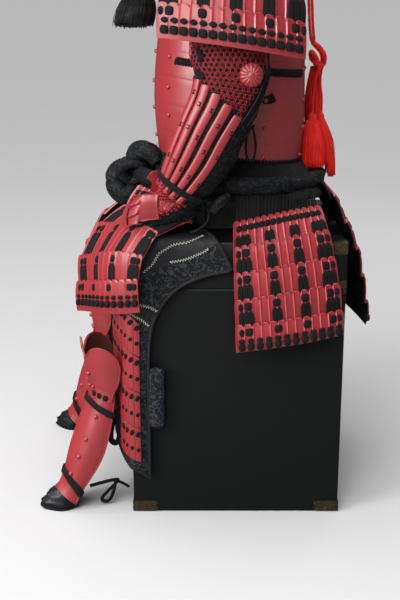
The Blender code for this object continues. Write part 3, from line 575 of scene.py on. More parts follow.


# Each finish: its maker, two colours and the maker's other values.  A colour is fixed, or is
# one of the panel's settings with a factor.  A worn finish has its mottle's scale and amount,
# two roughnesses, the grain's scale and depth; a braided one the plaits across and along and
# their depth, and its second colour is a highlight painted on the plaits' crests; a brocade the
# scale and strength of its scrolls; a thread one the plies, their slant and depth, and the
# roughness, with shade painted into the grooves between the threads.
FINISHES = {
    "Red lacquer": (worn_finish, ("lacquer", 1.0), ("lacquer", 0.80),
                    7.0, 0.8, 0.39, 0.50, 900.0, 0.00006, {"specular": 1.0}),
    # The scale ridges' faces: a lighter red that is a painted highlight line, a little glossier than the
    # lacquer.
    "Polished edge": (worn_finish, (0.52, 0.085, 0.105), (0.44, 0.055, 0.070),
                      7.0, 0.8, 0.24, 0.32, 900.0, 0.00004, {"specular": 0.65}),
    "Red mail": (worn_finish, ("lacquer", 1.15), ("lacquer", 0.70),
                 60.0, 0.8, 0.35, 0.55, 700.0, 0.0001, {"specular": 0.4}),
    "Black knots": (braided_finish, ("lacing", 1.0), ("lacing", 2.0), 6.0, 4.0, 0.0004),
    "Black webbing": (braided_finish, ("lacing", 1.1), ("lacing", 2.0), 8.0, 5.0, 0.0003),
    "Curtain cords": (thread_finish, ("lacing", 1.0), ("lacing", 1.5), 40.0, 0.0, 0.0004, 0.7),
    "Black cord": (thread_finish, ("lacing", 1.2), ("lacing", 2.6), 3.0, 1.6, 0.0003, 0.65),
    "Black brocade": (brocade_finish, ("cloth", 1.0), ("scroll", 0.50), 78.0, 0.85),
    "Blue brocade": (brocade_finish, ("cloth", 1.5), ("scroll", 1.12), 74.0, 0.9),
    "Black leather": (worn_finish, (0.011, 0.012, 0.013), (0.005, 0.005, 0.006),
                      20.0, 0.9, 0.40, 0.60, 520.0, 0.0005, {"specular": 0.35}),
    "Slate cloth": (worn_finish, (0.014, 0.017, 0.018), (0.007, 0.008, 0.009),
                    18.0, 0.9, 0.50, 0.70, 620.0, 0.0005, {"specular": 0.3}),
    "Soft black leather": (worn_finish, (0.009, 0.010, 0.012), (0.004, 0.004, 0.006),
                           24.0, 0.9, 0.34, 0.55, 300.0, 0.0008, {"specular": 0.35}),
    "Plain black cloth": (worn_finish, (0.0070, 0.0070, 0.0080), (0.0035, 0.0035, 0.0040),
                          30.0, 0.9, 0.70, 0.90, 800.0, 0.0005, {"specular": 0.15}),
    "Dark piping": (thread_finish, (0.012, 0.010, 0.012), (0.028, 0.022, 0.024), 5.0, 2.5, 0.0002, 0.6),
    "Cream stitching": (thread_finish, ("stitch", 0.8), ("stitch", 1.0), 2.0, 1.0, 0.0002, 0.7),
    "Leather lining": (worn_finish, ("lining", 1.0), ("lining", 0.45),
                       26.0, 0.9, 0.5, 0.75, 420.0, 0.0006, {}),
    # deep sets how dark the shade painted into the grooves between the threads is
    "Red cord": (thread_finish, ("silk", 1.0), ("silk", 1.15), 3.0, 1.7, 0.0006, 0.45,
                 {"sheen": 0.1, "deep": 0.62}),
    "Red threads": (thread_finish, ("silk", 1.0), (0.96, 0.022, 0.014), 4.0, 0.0, 0.0002, 0.45,
                    {"sheen": 0.1, "deep": 0.85}),
    "Box lacquer": (worn_finish, ("box", 1.35), ("box", 0.85),
                    4.5, 0.9, 0.34, 0.50, 260.0, 0.0003, {"specular": 0.35}),
    "Aged brass": (worn_finish, ("brass", 1.0), ("brass", 0.28),
                   75.0, 1.0, 0.38, 0.62, 500.0, 0.0006, {"metallic": 0.85}),
    "Stand wood": (worn_finish, (0.105, 0.100, 0.078), (0.060, 0.058, 0.045),
                   16.0, 0.8, 0.55, 0.75, 300.0, 0.0006, {}),
    "Horsehair": (thread_finish, (0.006, 0.006, 0.006), (0.016, 0.015, 0.014), 1.0, 0.4, 0.0002, 0.45),
    "Helmet lacquer": (worn_finish, (0.012, 0.011, 0.012), (0.006, 0.006, 0.006),
                       9.0, 0.8, 0.24, 0.38, 700.0, 0.0001, {"coat": 0.4}),
}


@lru_cache(None)
def finish(name):
    """One of the suit's finishes, made once."""
    maker, *rest = FINISHES[name]
    extra = rest.pop() if isinstance(rest[-1], dict) else {}
    colours = [shaded(getattr(bpy.context.scene.armour_colours, colour[0]), colour[1])
               if isinstance(colour[0], str) else colour for colour in rest[:2]]
    return maker(name, *colours, *rest[2:], **extra)


# ---------------------------------------------------------------- shared small parts

def rivet(shape, centre, out, radius):
    """A domed rivet head standing on a surface."""
    right = out.cross(Vector((0, 0.3, 1))).normalized()
    up = out.cross(right).normalized()
    sides = 18 if radius > 0.003 else 10
    rings = [[centre + (right * math.cos(turn) + up * math.sin(turn)) * radius * wide + out * radius * rise
              for turn in circle(sides)]
             for wide, rise in ((1.0, -0.35), (1.0, 0.05), (0.94, 0.32), (0.82, 0.54), (0.64, 0.72),
                                (0.42, 0.84), (0.18, 0.90))]
    shape.loft(rings)


def edge_roll(shape, path, radius, kind=0):
    """A rounded rim along an edge."""
    shape.tube([Vector(p) for p in path], radius, 6, kind)


# ---------------------------------------------------------------- the cuirass's rings

# height on the upright axis, half breadth, front depth, back depth
CUIRASS = [(0.660, 0.160, 0.155, 0.130),
           (0.748, 0.171, 0.168, 0.140),
           (0.809, 0.179, 0.175, 0.145),
           (0.865, 0.183, 0.178, 0.148),
           (0.922, 0.183, 0.176, 0.147),
           (0.974, 0.178, 0.171, 0.146),
           (1.030, 0.165, 0.164, 0.143),
           (1.090, 0.150, 0.152, 0.138),
           (1.150, 0.135, 0.132, 0.130)]
SIDE_TOP = 1.000          # top of the walls under the arms
FRONT_TOP = 1.090         # top of the chest plate
BACK_TOP = 1.150          # top of the back plate
BUST_EDGE = math.radians(38)
ARM_EDGE = math.radians(68)
SEAMS = (0.974, 0.922, 0.865, 0.809)          # where the riveted plates meet
RIVET_LEVELS = (0.962, 0.900, 0.843, 0.784)
RIVET_ANGLES = (-130, -90, -50, 17, 60, 90, 120, 163)


def ring_point(angle, level, grow=0.0):
    """A point of the cuirass ring at a level; angle 0 is the wearer's left, 90 the back."""
    breadth = table_value(CUIRASS, 1, level) + grow
    depth = table_value(CUIRASS, 3 if math.sin(angle) > 0 else 2, level) + grow
    c, s = math.cos(angle), math.sin(angle)
    radius = (abs(c / breadth) ** RING_POWER + abs(s / depth) ** RING_POWER) ** (-1 / RING_POWER)
    y = radius * s
    return Vector((radius * c, y, level - y * LEAN))


def ring_out(angle, level):
    """The direction straight out of the cuirass there."""
    ahead = ring_point(angle + 0.02, level) - ring_point(angle - 0.02, level)
    rise = ring_point(angle, level + 0.004) - ring_point(angle, level - 0.004)
    return ahead.cross(rise).normalized()


def ring_bottom(angle):
    """The waist edge dips a little at the front."""
    front = max(0.0, -math.sin(angle)) ** 2
    return 0.774 - 0.025 * front


def ring_top(angle):
    middle = FRONT_TOP if math.sin(angle) < 0 else BACK_TOP
    off = abs(abs(math.degrees(angle) % 180) - 90)
    share = (math.radians(off) - BUST_EDGE) / (ARM_EDGE - BUST_EDGE)
    share = min(max(share, 0.0), 1.0)
    return middle + (SIDE_TOP - middle) * share * share * (3 - 2 * share)


def seam_relief(level):
    """The plates overlap: each one's lower edge stands out a little over the next."""
    relief = 0.0
    for seam in SEAMS:
        away = level - seam
        if abs(away) < 0.0022:
            relief -= 0.0004 * (1 - abs(away) / 0.0022)
        if 0 < away < 0.030:
            relief += 0.0001 * (1 - away / 0.030)
    return relief


def cuirass_levels(low, high):
    """Levels from the top edge to the bottom edge, close together at each seam."""
    marks = {high, low}
    for seam in SEAMS:
        marks.update((seam + 0.012, seam + 0.0024, seam + 0.0008, seam, seam - 0.0022, seam - 0.014))
    marks.update((0.790, 0.837, 0.893, 0.948, 0.995))
    inside = sorted((m for m in marks if low < m < SIDE_TOP - 0.003), reverse=True)
    return [high] + [high + (SIDE_TOP - 0.003 - high) * k / 6 for k in range(1, 6)] + inside + [low]


class ARMOUR_OT_cuirass(bpy.types.Operator):
    """Front and back plates with their rivets, rims and lacing bands"""
    bl_idname = "armour.cuirass"
    bl_label = "Cuirass"

    def execute(self, context):
        sizes = context.scene.armour_sizes
        seam = math.radians(0.1)
        for name, start in (("cuirass_back", 0.0), ("cuirass_front", math.pi)):
            columns = 61
            angles = [start + seam + (math.pi - 2 * seam) * c / (columns - 1) for c in range(columns)]
            rows = []
            count = len(cuirass_levels(0.774, 1.05))
            for r in range(count):
                line = []
                for angle in angles:
                    level = cuirass_levels(ring_bottom(angle), ring_top(angle))[r]
                    line.append((angle, level))
                rows.append(line)
            base = [[ring_point(a, l) for a, l in line] for line in rows]
            outer = moved_out(base, lambda r, c: seam_relief(rows[r][c][1]))
            shape = Shape()
            shape.slab(outer, moved_out(base, -PLATE), inner_kind=1)
            edge_roll(shape, [p + Vector((0, 0, -0.001)) for p in base[0]], 0.0032)
            for level in RIVET_LEVELS:
                for degrees in RIVET_ANGLES:
                    angle = math.radians(degrees)
                    if (math.sin(angle) > 0) == (start == 0.0):
                        rivet(shape, ring_point(angle, level, 0.0008), ring_out(angle, level),
                              sizes.rivet)
            build(name + "_plates", shape, ["Red lacquer", "Black leather"],
                  "red_lacquer", (name,))
        self.straps()
        self.bands()
        return {"FINISHED"}

    def straps(self):
        """Shoulder straps with padded edges and a rivet near each end."""
        shape = Shape()
        route = through([(0, y, z) for y, z in STRAP_ROUTE], 33)
        breadth = [STRAP_FAR + (STRAP_NEAR - STRAP_FAR) * k / 8 for k in range(9)]
        outer = [[Vector((x, p.y, p.z)) for x in breadth] for p in route]
        outer = moved_out(outer, lambda r, c: -0.0012 * (1 - ((c - 4) / 4) ** 2))
        inner = moved_out(outer, STRAP_THICK)
        inner = [[p * 2 - q for p, q in zip(a, b)] for a, b in zip(outer, inner)]
        shape.slab(outer, inner, inner_kind=1)
        for c in (0, 8):
            edge_roll(shape, [row[c] for row in outer], 0.0024, kind=1)
        for r in (3, 29):
            rivet(shape, outer[r][4], Vector((0, 0, 1)), 0.004)
        build_pair("shoulder_strap_plate", shape, ["Red lacquer", "Black leather"],
                   "red_lacquer", "shoulder_strap")

    def bands(self):
        """Lacing bands under the arms, the side plate, its tab and the waist edge's loops."""
        shape = Shape()
        steps = 46
        for k in range(steps):
            angle = math.radians(-43 + 97 * k / (steps - 1))
            out = ring_out(angle, 0.956)
            ahead = (ring_point(angle + 0.02, 0.956) - ring_point(angle - 0.02, 0.956)).normalized()
            up = out.cross(ahead).normalized()
            lean = (ahead * 0.45 + up).normalized()
            shape.pillow(ring_point(angle, 0.956, 0.0004), lean.cross(out).normalized(), lean, out,
                         0.0040, 0.0088, 0.0036, power=2.6, sides=8)
        tab = [ring_point(math.radians(a), level, 0.0015) for a, level in
               ((12, 0.903), (14, 0.902), (17, 0.900), (20, 0.902), (23, 0.908))]
        shape.band(tab, [ring_out(math.radians(16), 0.9)] * 5, lambda t: 0.0055 + 0.0045 * t, 0.0016,
                   sides=8, power=4)
        build_pair("side_lacing", shape, ["Black knots"], "black_lacing")
        shape = Shape()
        count = 150
        for k in range(count):
            angle = math.tau * k / count
            level = ring_bottom(angle)
            out = ring_out(angle, level)
            up = Vector((0, 0, 1))
            shape.pillow(ring_point(angle, level + 0.0005, 0.0004), up.cross(out).normalized(), up, out,
                         0.0031, 0.0040, 0.0022, power=2.2, sides=8)
        build("waist_lacing", shape, ["Black knots"], "black_lacing")
        shape = Shape()
        plate = []
        for r in range(5):
            level = 0.999 - 0.020 * r / 4
            plate.append([ring_point(math.radians(-39 + 78 * c / 20), level, 0.0022) for c in range(21)])
        shape.slab(plate, moved_out(plate, -0.0016))
        build_pair("side_plate", shape, ["Red lacquer"], "red_lacquer")


# distance back, height: the strap's upper side over the shoulder, from the back to the chest
STRAP_ROUTE = [(0.1160, 1.1420), (0.1080, 1.1650), (0.0830, 1.1870), (0.0420, 1.1980),
               (-0.0050, 1.1960), (-0.0550, 1.1800), (-0.1000, 1.1530), (-0.1380, 1.1110)]
STRAP_NEAR, STRAP_FAR = 0.050, 0.100
STRAP_THICK = 0.004


# ---------------------------------------------------------------- panels of laced scales

class Panel:
    """A curved face made of rows of scales, from the two ends of each row's edge."""

    def __init__(self, stations, bulge, late=False):
        self.starts = [Vector(s[0:3]) for s in stations]
        self.ends = [Vector(s[3:6]) for s in stations]
        self.last = len(stations) - 1
        self.bulge = bulge
        self.late = late          # the swell comes near the end edge, as over a box's corner
        self.known = {}

    def flat(self, row, share):
        return self.starts[row].lerp(self.ends[row], share)

    def edge(self, row, share):
        """A point of a row's edge with the panel's swell, and the way out of the panel there."""
        key = (row, round(share, 5))
        if key not in self.known:
            self.known[key] = (self.swollen(row, share), self.way_out(row, share))
        return self.known[key]

    def swollen(self, row, share):
        down = self.flat(min(row + 1, self.last), share) - self.flat(max(row - 1, 0), share)
        out = down.cross(self.ends[row] - self.starts[row]).normalized()
        swell = self.bulge * min(0.25 + 0.05 * row + 0.075 * row * row, 1.0)
        if self.late:
            share = 1 - math.copysign(abs(1 - share) ** 1.28, 1 - share)
        profile = 4.78 * share * share if self.late else 4 * share
        return self.flat(row, share) + out * swell * profile * (1 - share)

    def way_out(self, row, share):
        down = self.swollen(min(row + 1, self.last), share) - self.swollen(max(row - 1, 0), share)
        along = self.swollen(row, share + 0.02) - self.swollen(row, share - 0.02)
        return down.cross(along).normalized()

    def place(self, row, share, down, lift):
        """A point of a row: down runs from 0 at its top to 1 at its foot."""
        (top, top_out), (foot, foot_out) = self.edge(row, share), self.edge(row + 1, share)
        return top + (foot - top) * down + (top_out + (foot_out - top_out) * down) * lift

    def length(self, row):
        return (self.ends[row] - self.starts[row]).length

    def height(self, row):
        return (self.edge(row + 1, 0.5)[0] - self.edge(row, 0.5)[0]).length

    def frame_at(self, row, share, down, lift):
        """The point with its right, up and out directions."""
        centre = self.place(row, share, down, lift)
        right = (self.place(row, share + 0.01, down, lift) - centre).normalized()
        up = (self.place(row, share, down - 0.05, lift) - centre).normalized()
        return centre, right, up, right.cross(up).normalized()


# share across one scale, with how high its ridge and its scallop stand there
SCALE_PROFILE = [(0.00, 0.10, 0.00), (0.045, 0.66, 0.42), (0.09, 1.00, 0.66), (0.135, 0.86, 0.80),
                 (0.20, 0.56, 0.90), (0.27, 0.38, 0.97), (0.45, 0.26, 1.00), (0.68, 0.14, 0.93),
                 (0.87, 0.04, 0.66), (0.965, 0.00, 0.24)]
ROW_STEPS = (0.0, 0.025, 0.07, 0.16, 0.32, 0.50, 0.70, 0.88, 1.0)
BELLY = 0.0026            # how far each row swells between its top and its foot


def lames(shape, panel, rows, scales, sizes, rim=0.0, highlight_kind=0, painted_shade_ends=False):
    """Every row of a panel: scalloped tops, a ridge down each scale with a highlight painted along it in a
    lighter, glossier red, and a plain foot.
    """
    marks = [((i + q) / scales, ridge, crown) for i in range(scales) for q, ridge, crown in SCALE_PROFILE]
    marks.append((1.0, 0.0, 0.0))
    for row in range(rows):
        last = row == rows - 1
        height = panel.height(row)
        outer, inner = [], []
        for k, step in enumerate(ROW_STEPS):
            front, back = [], []
            for share, ridge, crown in marks:
                top = sizes.scallop * ((0.40 if row else 0.0) - crown) / height
                foot = 1.0 if last else 1.07
                down = top + (foot - top) * step
                tilt = row_lift(down, last) - LAME
                fade = 1.0
                if last and rim:
                    fade = 1 - soft_step(1 - rim - 0.10, 1 - rim, down)
                thick = LAME * (0.55 if k == 0 or (last and k == len(ROW_STEPS) - 1) else 1.0)
                rise = sizes.ridge * ridge * fade * (0.4 if k == 0 else 1.0)
                front.append(panel.place(row, share, down, tilt + thick + rise))
                back.append(panel.place(row, share, down, tilt))
            outer.append(front)
            inner.append(back)
        first, spans = len(shape.kinds), len(marks) - 1
        shape.slab(outer, inner, inner_kind=1)
        steps = len(ROW_STEPS) - 1
        # painted shade: the end walls of each row are black cloth, standing in for the shade on these edges
        if painted_shade_ends:
            ends = first + steps * spans + 2 * spans
            shape.kinds[ends:ends + 2 * steps] = [1] * (2 * steps)
        # painted highlight: the faces along each scale's ridge take the lighter red of the painted edge
        # highlight finish
        if highlight_kind:
            for r in range(steps - (3 if last else 0)):
                for c in range(spans):
                    if c % len(SCALE_PROFILE) < 2 and c > 1:
                        shape.kinds[first + r * spans + c] = highlight_kind


def row_lift(down, last=False):
    """Height of a row's face over the panel's base."""
    swell = BELLY * math.sin(math.pi * min(max(down, 0.0), 1.0) ** 0.8)
    return LAME + swell + (STEP if last else STEP * (1 - down))


def laces(shape, panel, row, share, count, sizes, start=0.30, size=1.0):
    """A group of suspending laces: drawn together where they leave the scale, then side by side."""
    width = sizes.lace_width * size
    step = width * 0.96 / panel.length(row)
    for k in range(count):
        off = (k - (count - 1) / 2) * step
        path, outs = [], []
        for i in range(9):
            t = i / 8
            down = start + (1.055 - start) * t
            draw = 0.86 + 0.16 * soft_step(0.0, 0.50, t)
            dip = -0.0022 * (1 - soft_step(0.0, 0.15, t)) - 0.0016 * soft_step(0.86, 1.0, t)
            lift = row_lift(down) + sizes.lace_depth * 0.42 + sizes.ridge * 0.5 + dip
            here = share + off * draw
            path.append(panel.place(row, here, down, lift))
            outs.append(panel.edge(row, here)[1])
        shape.band(path, outs, lambda t: width * (0.17 + 0.35 * soft_step(-0.08, 0.20, t)),
                   sizes.lace_depth * 0.5, sides=8, power=2.6)


def knot(shape, panel, row, share, down, half_x, half_y, power=4.0, last=False, turn=0.0, height=0.0034,
         proud=0.0009):
    """One cross knot on a row."""
    centre, right, up, out = panel.frame_at(row, share, down, row_lift(down, last) + proud)
    if turn:
        spin = Matrix.Rotation(turn, 3, out)
        right, up = spin @ right, spin @ up
    shape.pillow(centre, right, up, out, half_x, half_y, height, power)


def lace_groups(shape, panel, row, groups, sizes, last, knot_half, size=1.0):
    """The knots under a row's scallops and the laces that go on to the next row.

    groups holds each group's share across, its number of laces and which side the small
    knot stands on: -1, 0 for none, or 1.
    """
    width = panel.length(row)
    down = 0.235 * 0.053 / panel.height(row)
    for share, count, small_side in groups:
        centre = share - small_side * knot_half * 0.55 / width
        knot(shape, panel, row, centre, down, knot_half, knot_half * 1.02, last=last)
        if small_side:
            knot(shape, panel, row, share + small_side * knot_half * 1.30 / width, down + 0.01,
                 knot_half * 0.62, knot_half * 0.95, power=2.2, last=last)
        if not last:
            start = down + knot_half * 1.25 / panel.height(row)
            laces(shape, panel, row, share, count, sizes, start=start, size=size)


def hang_laces(shape, panel, count):
    """The laces that hang a panel's first row from under the sash."""
    half = panel.length(0) / count * 0.47
    for i in range(count):
        share = 0.03 + 0.94 * (i + 0.5) / count
        foot = panel.place(0, share, 0.10, -0.0014)
        angle = math.atan2(foot.y / (0.200 if foot.y < 0 else 0.172),
                           foot.x / (0.199 + 0.6 * max(foot.y, 0.0)))
        depth = 0.172 if foot.y > 0 else 0.200
        top = Vector((0.1965 * math.cos(angle), depth * math.sin(angle), 0.722))
        top.y += 0.12 * (foot.y - top.y)
        out = Vector((foot.x, foot.y, 0.0)).normalized()
        wave = waver(share * 17, foot.x * 9, 0.7)
        path, outs = [], []
        for k in range(8):
            t = k / 7
            path.append(top.lerp(foot, t) + out * (0.006 * t * (1 - t) * 4 * (0.8 + 0.5 * wave))
                        + Vector((0, 0, 0.006 * t * (1 - t) * 4)))
            outs.append((out + Vector((0, 0, 0.5 * (1 - t)))).normalized())
        shape.band(path, outs, half * (1.0 + 0.25 * wave), 0.0011, sides=6)


def foot_knots(shape, panel, row, count, upper, lower, half, small, point, corner):
    """The two rows of cross knots along the foot of a panel."""
    for i in range(count):
        share = 0.055 + 0.89 * i / (count - 1)
        knot(shape, panel, row, share, upper, small, small * 0.72, power=point, last=True, proud=0.0016)
        tall = half * (1.16 if corner < 4 else 0.98)
        knot(shape, panel, row, share, lower, half, tall, power=corner, last=True, height=0.0042,
             proud=0.0036)


# Each row: the start edge x, y, z, then the end edge x, y, z.  Edges run anticlockwise
# seen from above, and the rows are the tops of the scale rows and the hem.
SHOULDER_GUARD = [(0.232, -0.118, 1.262, 0.232, 0.098, 1.236),
                  (0.256, -0.136, 1.205, 0.256, 0.106, 1.173),
                  (0.276, -0.148, 1.144, 0.276, 0.112, 1.110),
                  (0.290, -0.154, 1.083, 0.290, 0.115, 1.046),
                  (0.300, -0.157, 1.022, 0.300, 0.116, 0.982)]
PANEL_FRONT_CENTRE = [(-0.036, -0.203, 0.687, 0.036, -0.203, 0.687),
                      (-0.040, -0.232, 0.644, 0.040, -0.232, 0.644),
                      (-0.044, -0.272, 0.600, 0.044, -0.272, 0.600),
                      (-0.048, -0.298, 0.552, 0.048, -0.298, 0.552),
                      (-0.051, -0.306, 0.496, 0.051, -0.306, 0.496),
                      (-0.053, -0.309, 0.440, 0.053, -0.309, 0.440)]
PANEL_FRONT = [(0.046, -0.212, 0.688, 0.190, -0.080, 0.672),
               (0.052, -0.240, 0.650, 0.212, -0.094, 0.649),
               (0.061, -0.296, 0.612, 0.251, -0.162, 0.632),
               (0.070, -0.339, 0.541, 0.270, -0.191, 0.592),
               (0.075, -0.345, 0.486, 0.272, -0.202, 0.546),
               (0.076, -0.347, 0.420, 0.270, -0.199, 0.478)]
PANEL_SIDE = [(0.227, -0.012, 0.648, 0.188, 0.170, 0.672),
              (0.239, -0.011, 0.601, 0.225, 0.184, 0.634),
              (0.250, -0.009, 0.549, 0.235, 0.196, 0.583),
              (0.259, -0.007, 0.495, 0.240, 0.206, 0.529),
              (0.265, -0.005, 0.444, 0.243, 0.214, 0.473),
              (0.269, -0.003, 0.390, 0.245, 0.218, 0.421)]
PANEL_BACK = [(0.150, 0.191, 0.690, 0.008, 0.190, 0.690),
              (0.164, 0.216, 0.640, 0.008, 0.223, 0.640),
              (0.176, 0.240, 0.586, 0.008, 0.236, 0.586),
              (0.184, 0.252, 0.530, 0.008, 0.238, 0.530),
              (0.188, 0.262, 0.474, 0.008, 0.239, 0.474),
              (0.190, 0.262, 0.424, 0.008, 0.240, 0.424)]

# share across, laces in the group, side of the small knot
SKIRT_GROUPS = [(0.105, 3, -1), (0.385, 2, 0), (0.650, 2, 0), (0.910, 3, 1)]
GUARD_GROUPS = [(0.065, 3, -1), (0.300, 2, 0), (0.520, 2, 0), (0.745, 2, 0), (0.940, 3, 1)]
CENTRE_GROUPS = [(0.16, 1, 0), (0.50, 1, 0), (0.84, 1, 0)]


def laced_panel(name, node, stations, rows, bulge, scales, groups, knots, sizes, knot_half,
                foot, pair=True, size=1.0):
    """A panel's scales as one piece and its laces as another."""
    panel = Panel(stations, bulge, late=name == "skirt_thigh")
    scale_rows, cords = Shape(), Shape()
    upper, lower, half, small = foot
    lames(scale_rows, panel, rows, scales, sizes, rim=1 - lower, highlight_kind=2,
          painted_shade_ends=name.startswith("skirt_back"))
    finishes = ["Red lacquer", "Plain black cloth", "Polished edge"]
    for row in range(rows):
        last = row == rows - 1
        if row == 0:
            braid = panel.length(0) * 0.94 / (knots + 3) / 2
            for i in range(knots + 3):
                share = 0.03 + 0.94 * (i + 0.5) / (knots + 3)
                knot(cords, panel, 0, share, 0.21, braid * 1.06, 0.0062, power=3.4, turn=0.20)
            if name.startswith("skirt"):
                hang_laces(cords, panel, knots * 2)
            for share, count, _ in groups:
                laces(cords, panel, 0, share, count, sizes, start=0.50, size=size)
            continue
        lace_groups(cords, panel, row, groups, sizes, last, knot_half, size)
    point, corner = (1.35, 4.0) if name == "shoulder_guard" else (2.0, 2.6)
    foot_knots(cords, panel, rows - 1, knots, upper, lower, half, small, point=point, corner=corner)
    if pair:
        build_pair(name + "_scales", scale_rows, finishes, "red_lacquer", node)
        build_pair(name + "_laces", cords, ["Black knots"], "black_lacing")
    else:
        build(name + "_scales", scale_rows, finishes, "red_lacquer", (node,))
        build(name + "_laces", cords, ["Black knots"], "black_lacing")


class ARMOUR_OT_skirt(bpy.types.Operator):
    """The seven hanging panels of the skirt"""
    bl_idname = "armour.skirt"
    bl_label = "Skirt panels"

    def execute(self, context):
        sizes = context.scene.armour_sizes
        laced_panel("skirt_side", "skirt_panel_side", PANEL_SIDE, 5, 0.014, 13, SKIRT_GROUPS, 12,
                    sizes, 0.0080, (0.575, 0.80, 0.0073, 0.0068))
        laced_panel("skirt_thigh", "skirt_panel_thigh", PANEL_FRONT, 5, 0.034, 12, SKIRT_GROUPS, 12,
                    sizes, 0.0074, (0.480, 0.680, 0.0066, 0.0060))
        turned = [(x, y + 0.006, z, *end) for x, y, z, *end in PANEL_BACK]
        # the right one turns a little further round the hip at its top
        right = [(-end_x, end_y, end_z, -x, y - inward, z) for (x, y, z, end_x, end_y, end_z), inward
                 in zip(turned, (0.040, 0.034, 0.014, 0.004, 0.0, 0.0))]
        mirrored = [(1 - share, count, -side) for share, count, side in reversed(SKIRT_GROUPS)]
        for side, stations, groups in (("_L", turned, SKIRT_GROUPS), ("_R", right, mirrored)):
            laced_panel("skirt_back" + side, "skirt_panel_back" + side, stations, 5, 0.002, 10, groups, 10,
                        sizes, 0.0070, (0.545, 0.765, 0.0068, 0.0058), pair=False, size=0.85)
        laced_panel("skirt_front", "skirt_panel_front", PANEL_FRONT_CENTRE, 5, 0.006, 6, CENTRE_GROUPS,
                    6, sizes, 0.0062, (0.545, 0.765, 0.0066, 0.0054), pair=False)
        return {"FINISHED"}


# where each guard hangs: the guard's top edge, over the shoulder, to the strap
HANGERS = (("guard_cord_front", [(0.2330, -0.0740, 1.2440), (0.2320, -0.0690, 1.2640),
                                 (0.2180, -0.0600, 1.2660), (0.1900, -0.0440, 1.2480),
                                 (0.1560, -0.0260, 1.2200), (0.1240, -0.0120, 1.1960),
                                 (0.0990, -0.0060, 1.1900)]),
           ("guard_cord_middle", [(0.2340, -0.0080, 1.2360), (0.2330, -0.0060, 1.2560),
                                  (0.2180, -0.0020, 1.2580), (0.1880, 0.0080, 1.2380),
                                  (0.1540, 0.0170, 1.2140), (0.1230, 0.0240, 1.1960),
                                  (0.0990, 0.0270, 1.1900)]),
           ("guard_cord_rear", [(0.2330, 0.0560, 1.2290), (0.2320, 0.0560, 1.2490),
                                (0.2170, 0.0580, 1.2510), (0.1880, 0.0600, 1.2320),
                                (0.1540, 0.0610, 1.2080), (0.1240, 0.0610, 1.1900),
                                (0.0990, 0.0600, 1.1800)]))


def cord_pair(name, shape):
    """A free black cord on the left and its partner on the right."""
    pair = build_pair(name, shape, ["Black cord"], "black_lacing", sharp=180)


class ARMOUR_OT_shoulder_guards(bpy.types.Operator):
    """The two large shoulder guards and the cords that hang them"""
    bl_idname = "armour.shoulder_guards"
    bl_label = "Shoulder guards"

    def execute(self, context):
        sizes = context.scene.armour_sizes
        laced_panel("shoulder_guard", "shoulder_guard", SHOULDER_GUARD, 4, 0.030, 14, GUARD_GROUPS, 15,
                    sizes, 0.0084, (0.465, 0.745, 0.0081, 0.0083), size=1.12)
        for name, points in HANGERS:
            path = through(points, 60)
            shape = Shape()
            twisted(shape, path, 0.0036, plies=3, share=0.58)
            cord_pair(name, shape)
        return {"FINISHED"}


# ---------------------------------------------------------------- stage

class ARMOUR_OT_stage(bpy.types.Operator):
    """Camera, soft lights, pale floor and background"""
    bl_idname = "armour.stage"
    bl_label = "Stage"

    def execute(self, context):
        scene = context.scene
        view = bpy.data.cameras.new("Camera")
        view.lens = 63.0
        view.sensor_fit = "VERTICAL"
        view.sensor_height = 36.0
        view.clip_end = 600.0
        camera = bpy.data.objects.new("Camera", view)
        camera.location = (2.319, -0.0787, 1.119)
        camera.rotation_euler = (math.radians(73.25), 0.0, math.radians(90.0))
        scene.collection.objects.link(camera)
        scene.camera = camera
        for name, place, aim, size, power in (
                ("Key light", (2.05, -2.9, 1.75), (0, -0.1, 0.7), 2.0, 120.0),
                ("Front light", (2.8, -0.8, 2.45), (0, -0.1, 0.75), 1.6, 54.0),
                ("Rear light", (-2.4, 1.6, 2.2), (0, 0.1, 0.8), 1.6, 10.0)):
            light = bpy.data.lights.new(name, "AREA")
            light.shape = "DISK"
            light.size = size
            light.energy = power
            lamp = bpy.data.objects.new(name, light)
            lamp.location = place
            aim_line = Vector(aim) - Vector(place)
            lamp.rotation_euler = aim_line.to_track_quat("-Z", "Y").to_euler()
            scene.collection.objects.link(lamp)
        light = bpy.data.lights.new("Overhead light", "SUN")
        light.energy = 2.25
        light.angle = math.radians(60)
        lamp = bpy.data.objects.new("Overhead light", light)
        lamp.rotation_euler = Vector((-0.12, 0.16, -1.0)).to_track_quat("-Z", "Y").to_euler()
        scene.collection.objects.link(lamp)
        world = bpy.data.worlds.new("Studio")
        world.use_nodes = True
        back = world.node_tree.nodes["Background"]
        back.inputs["Color"].default_value = (0.96, 0.97, 1.0, 1.0)
        back.inputs["Strength"].default_value = 0.13
        scene.world = world
        scene.view_settings.view_transform = "Standard"
        mesh = bpy.data.meshes.new("Floor")
        half = 300.0
        mesh.from_pydata([(-half, -half, -0.0004), (half, -half, -0.0004), (half, half, -0.0004),
                          (-half, half, -0.0004)], [], [(0, 1, 2, 3)])
        mesh.materials.append(worn_finish("Pale floor", (0.60, 0.60, 0.605), (0.59, 0.59, 0.595), 1.2,
                                          0.6, 0.85, 0.95, 60.0, 0.0002, specular=0.2))
        floor = bpy.data.objects.new("Floor", mesh)
        floor.visible_glossy = False
        scene.collection.objects.link(floor)
        return {"FINISHED"}


# ---------------------------------------------------------------- back cord and tassels

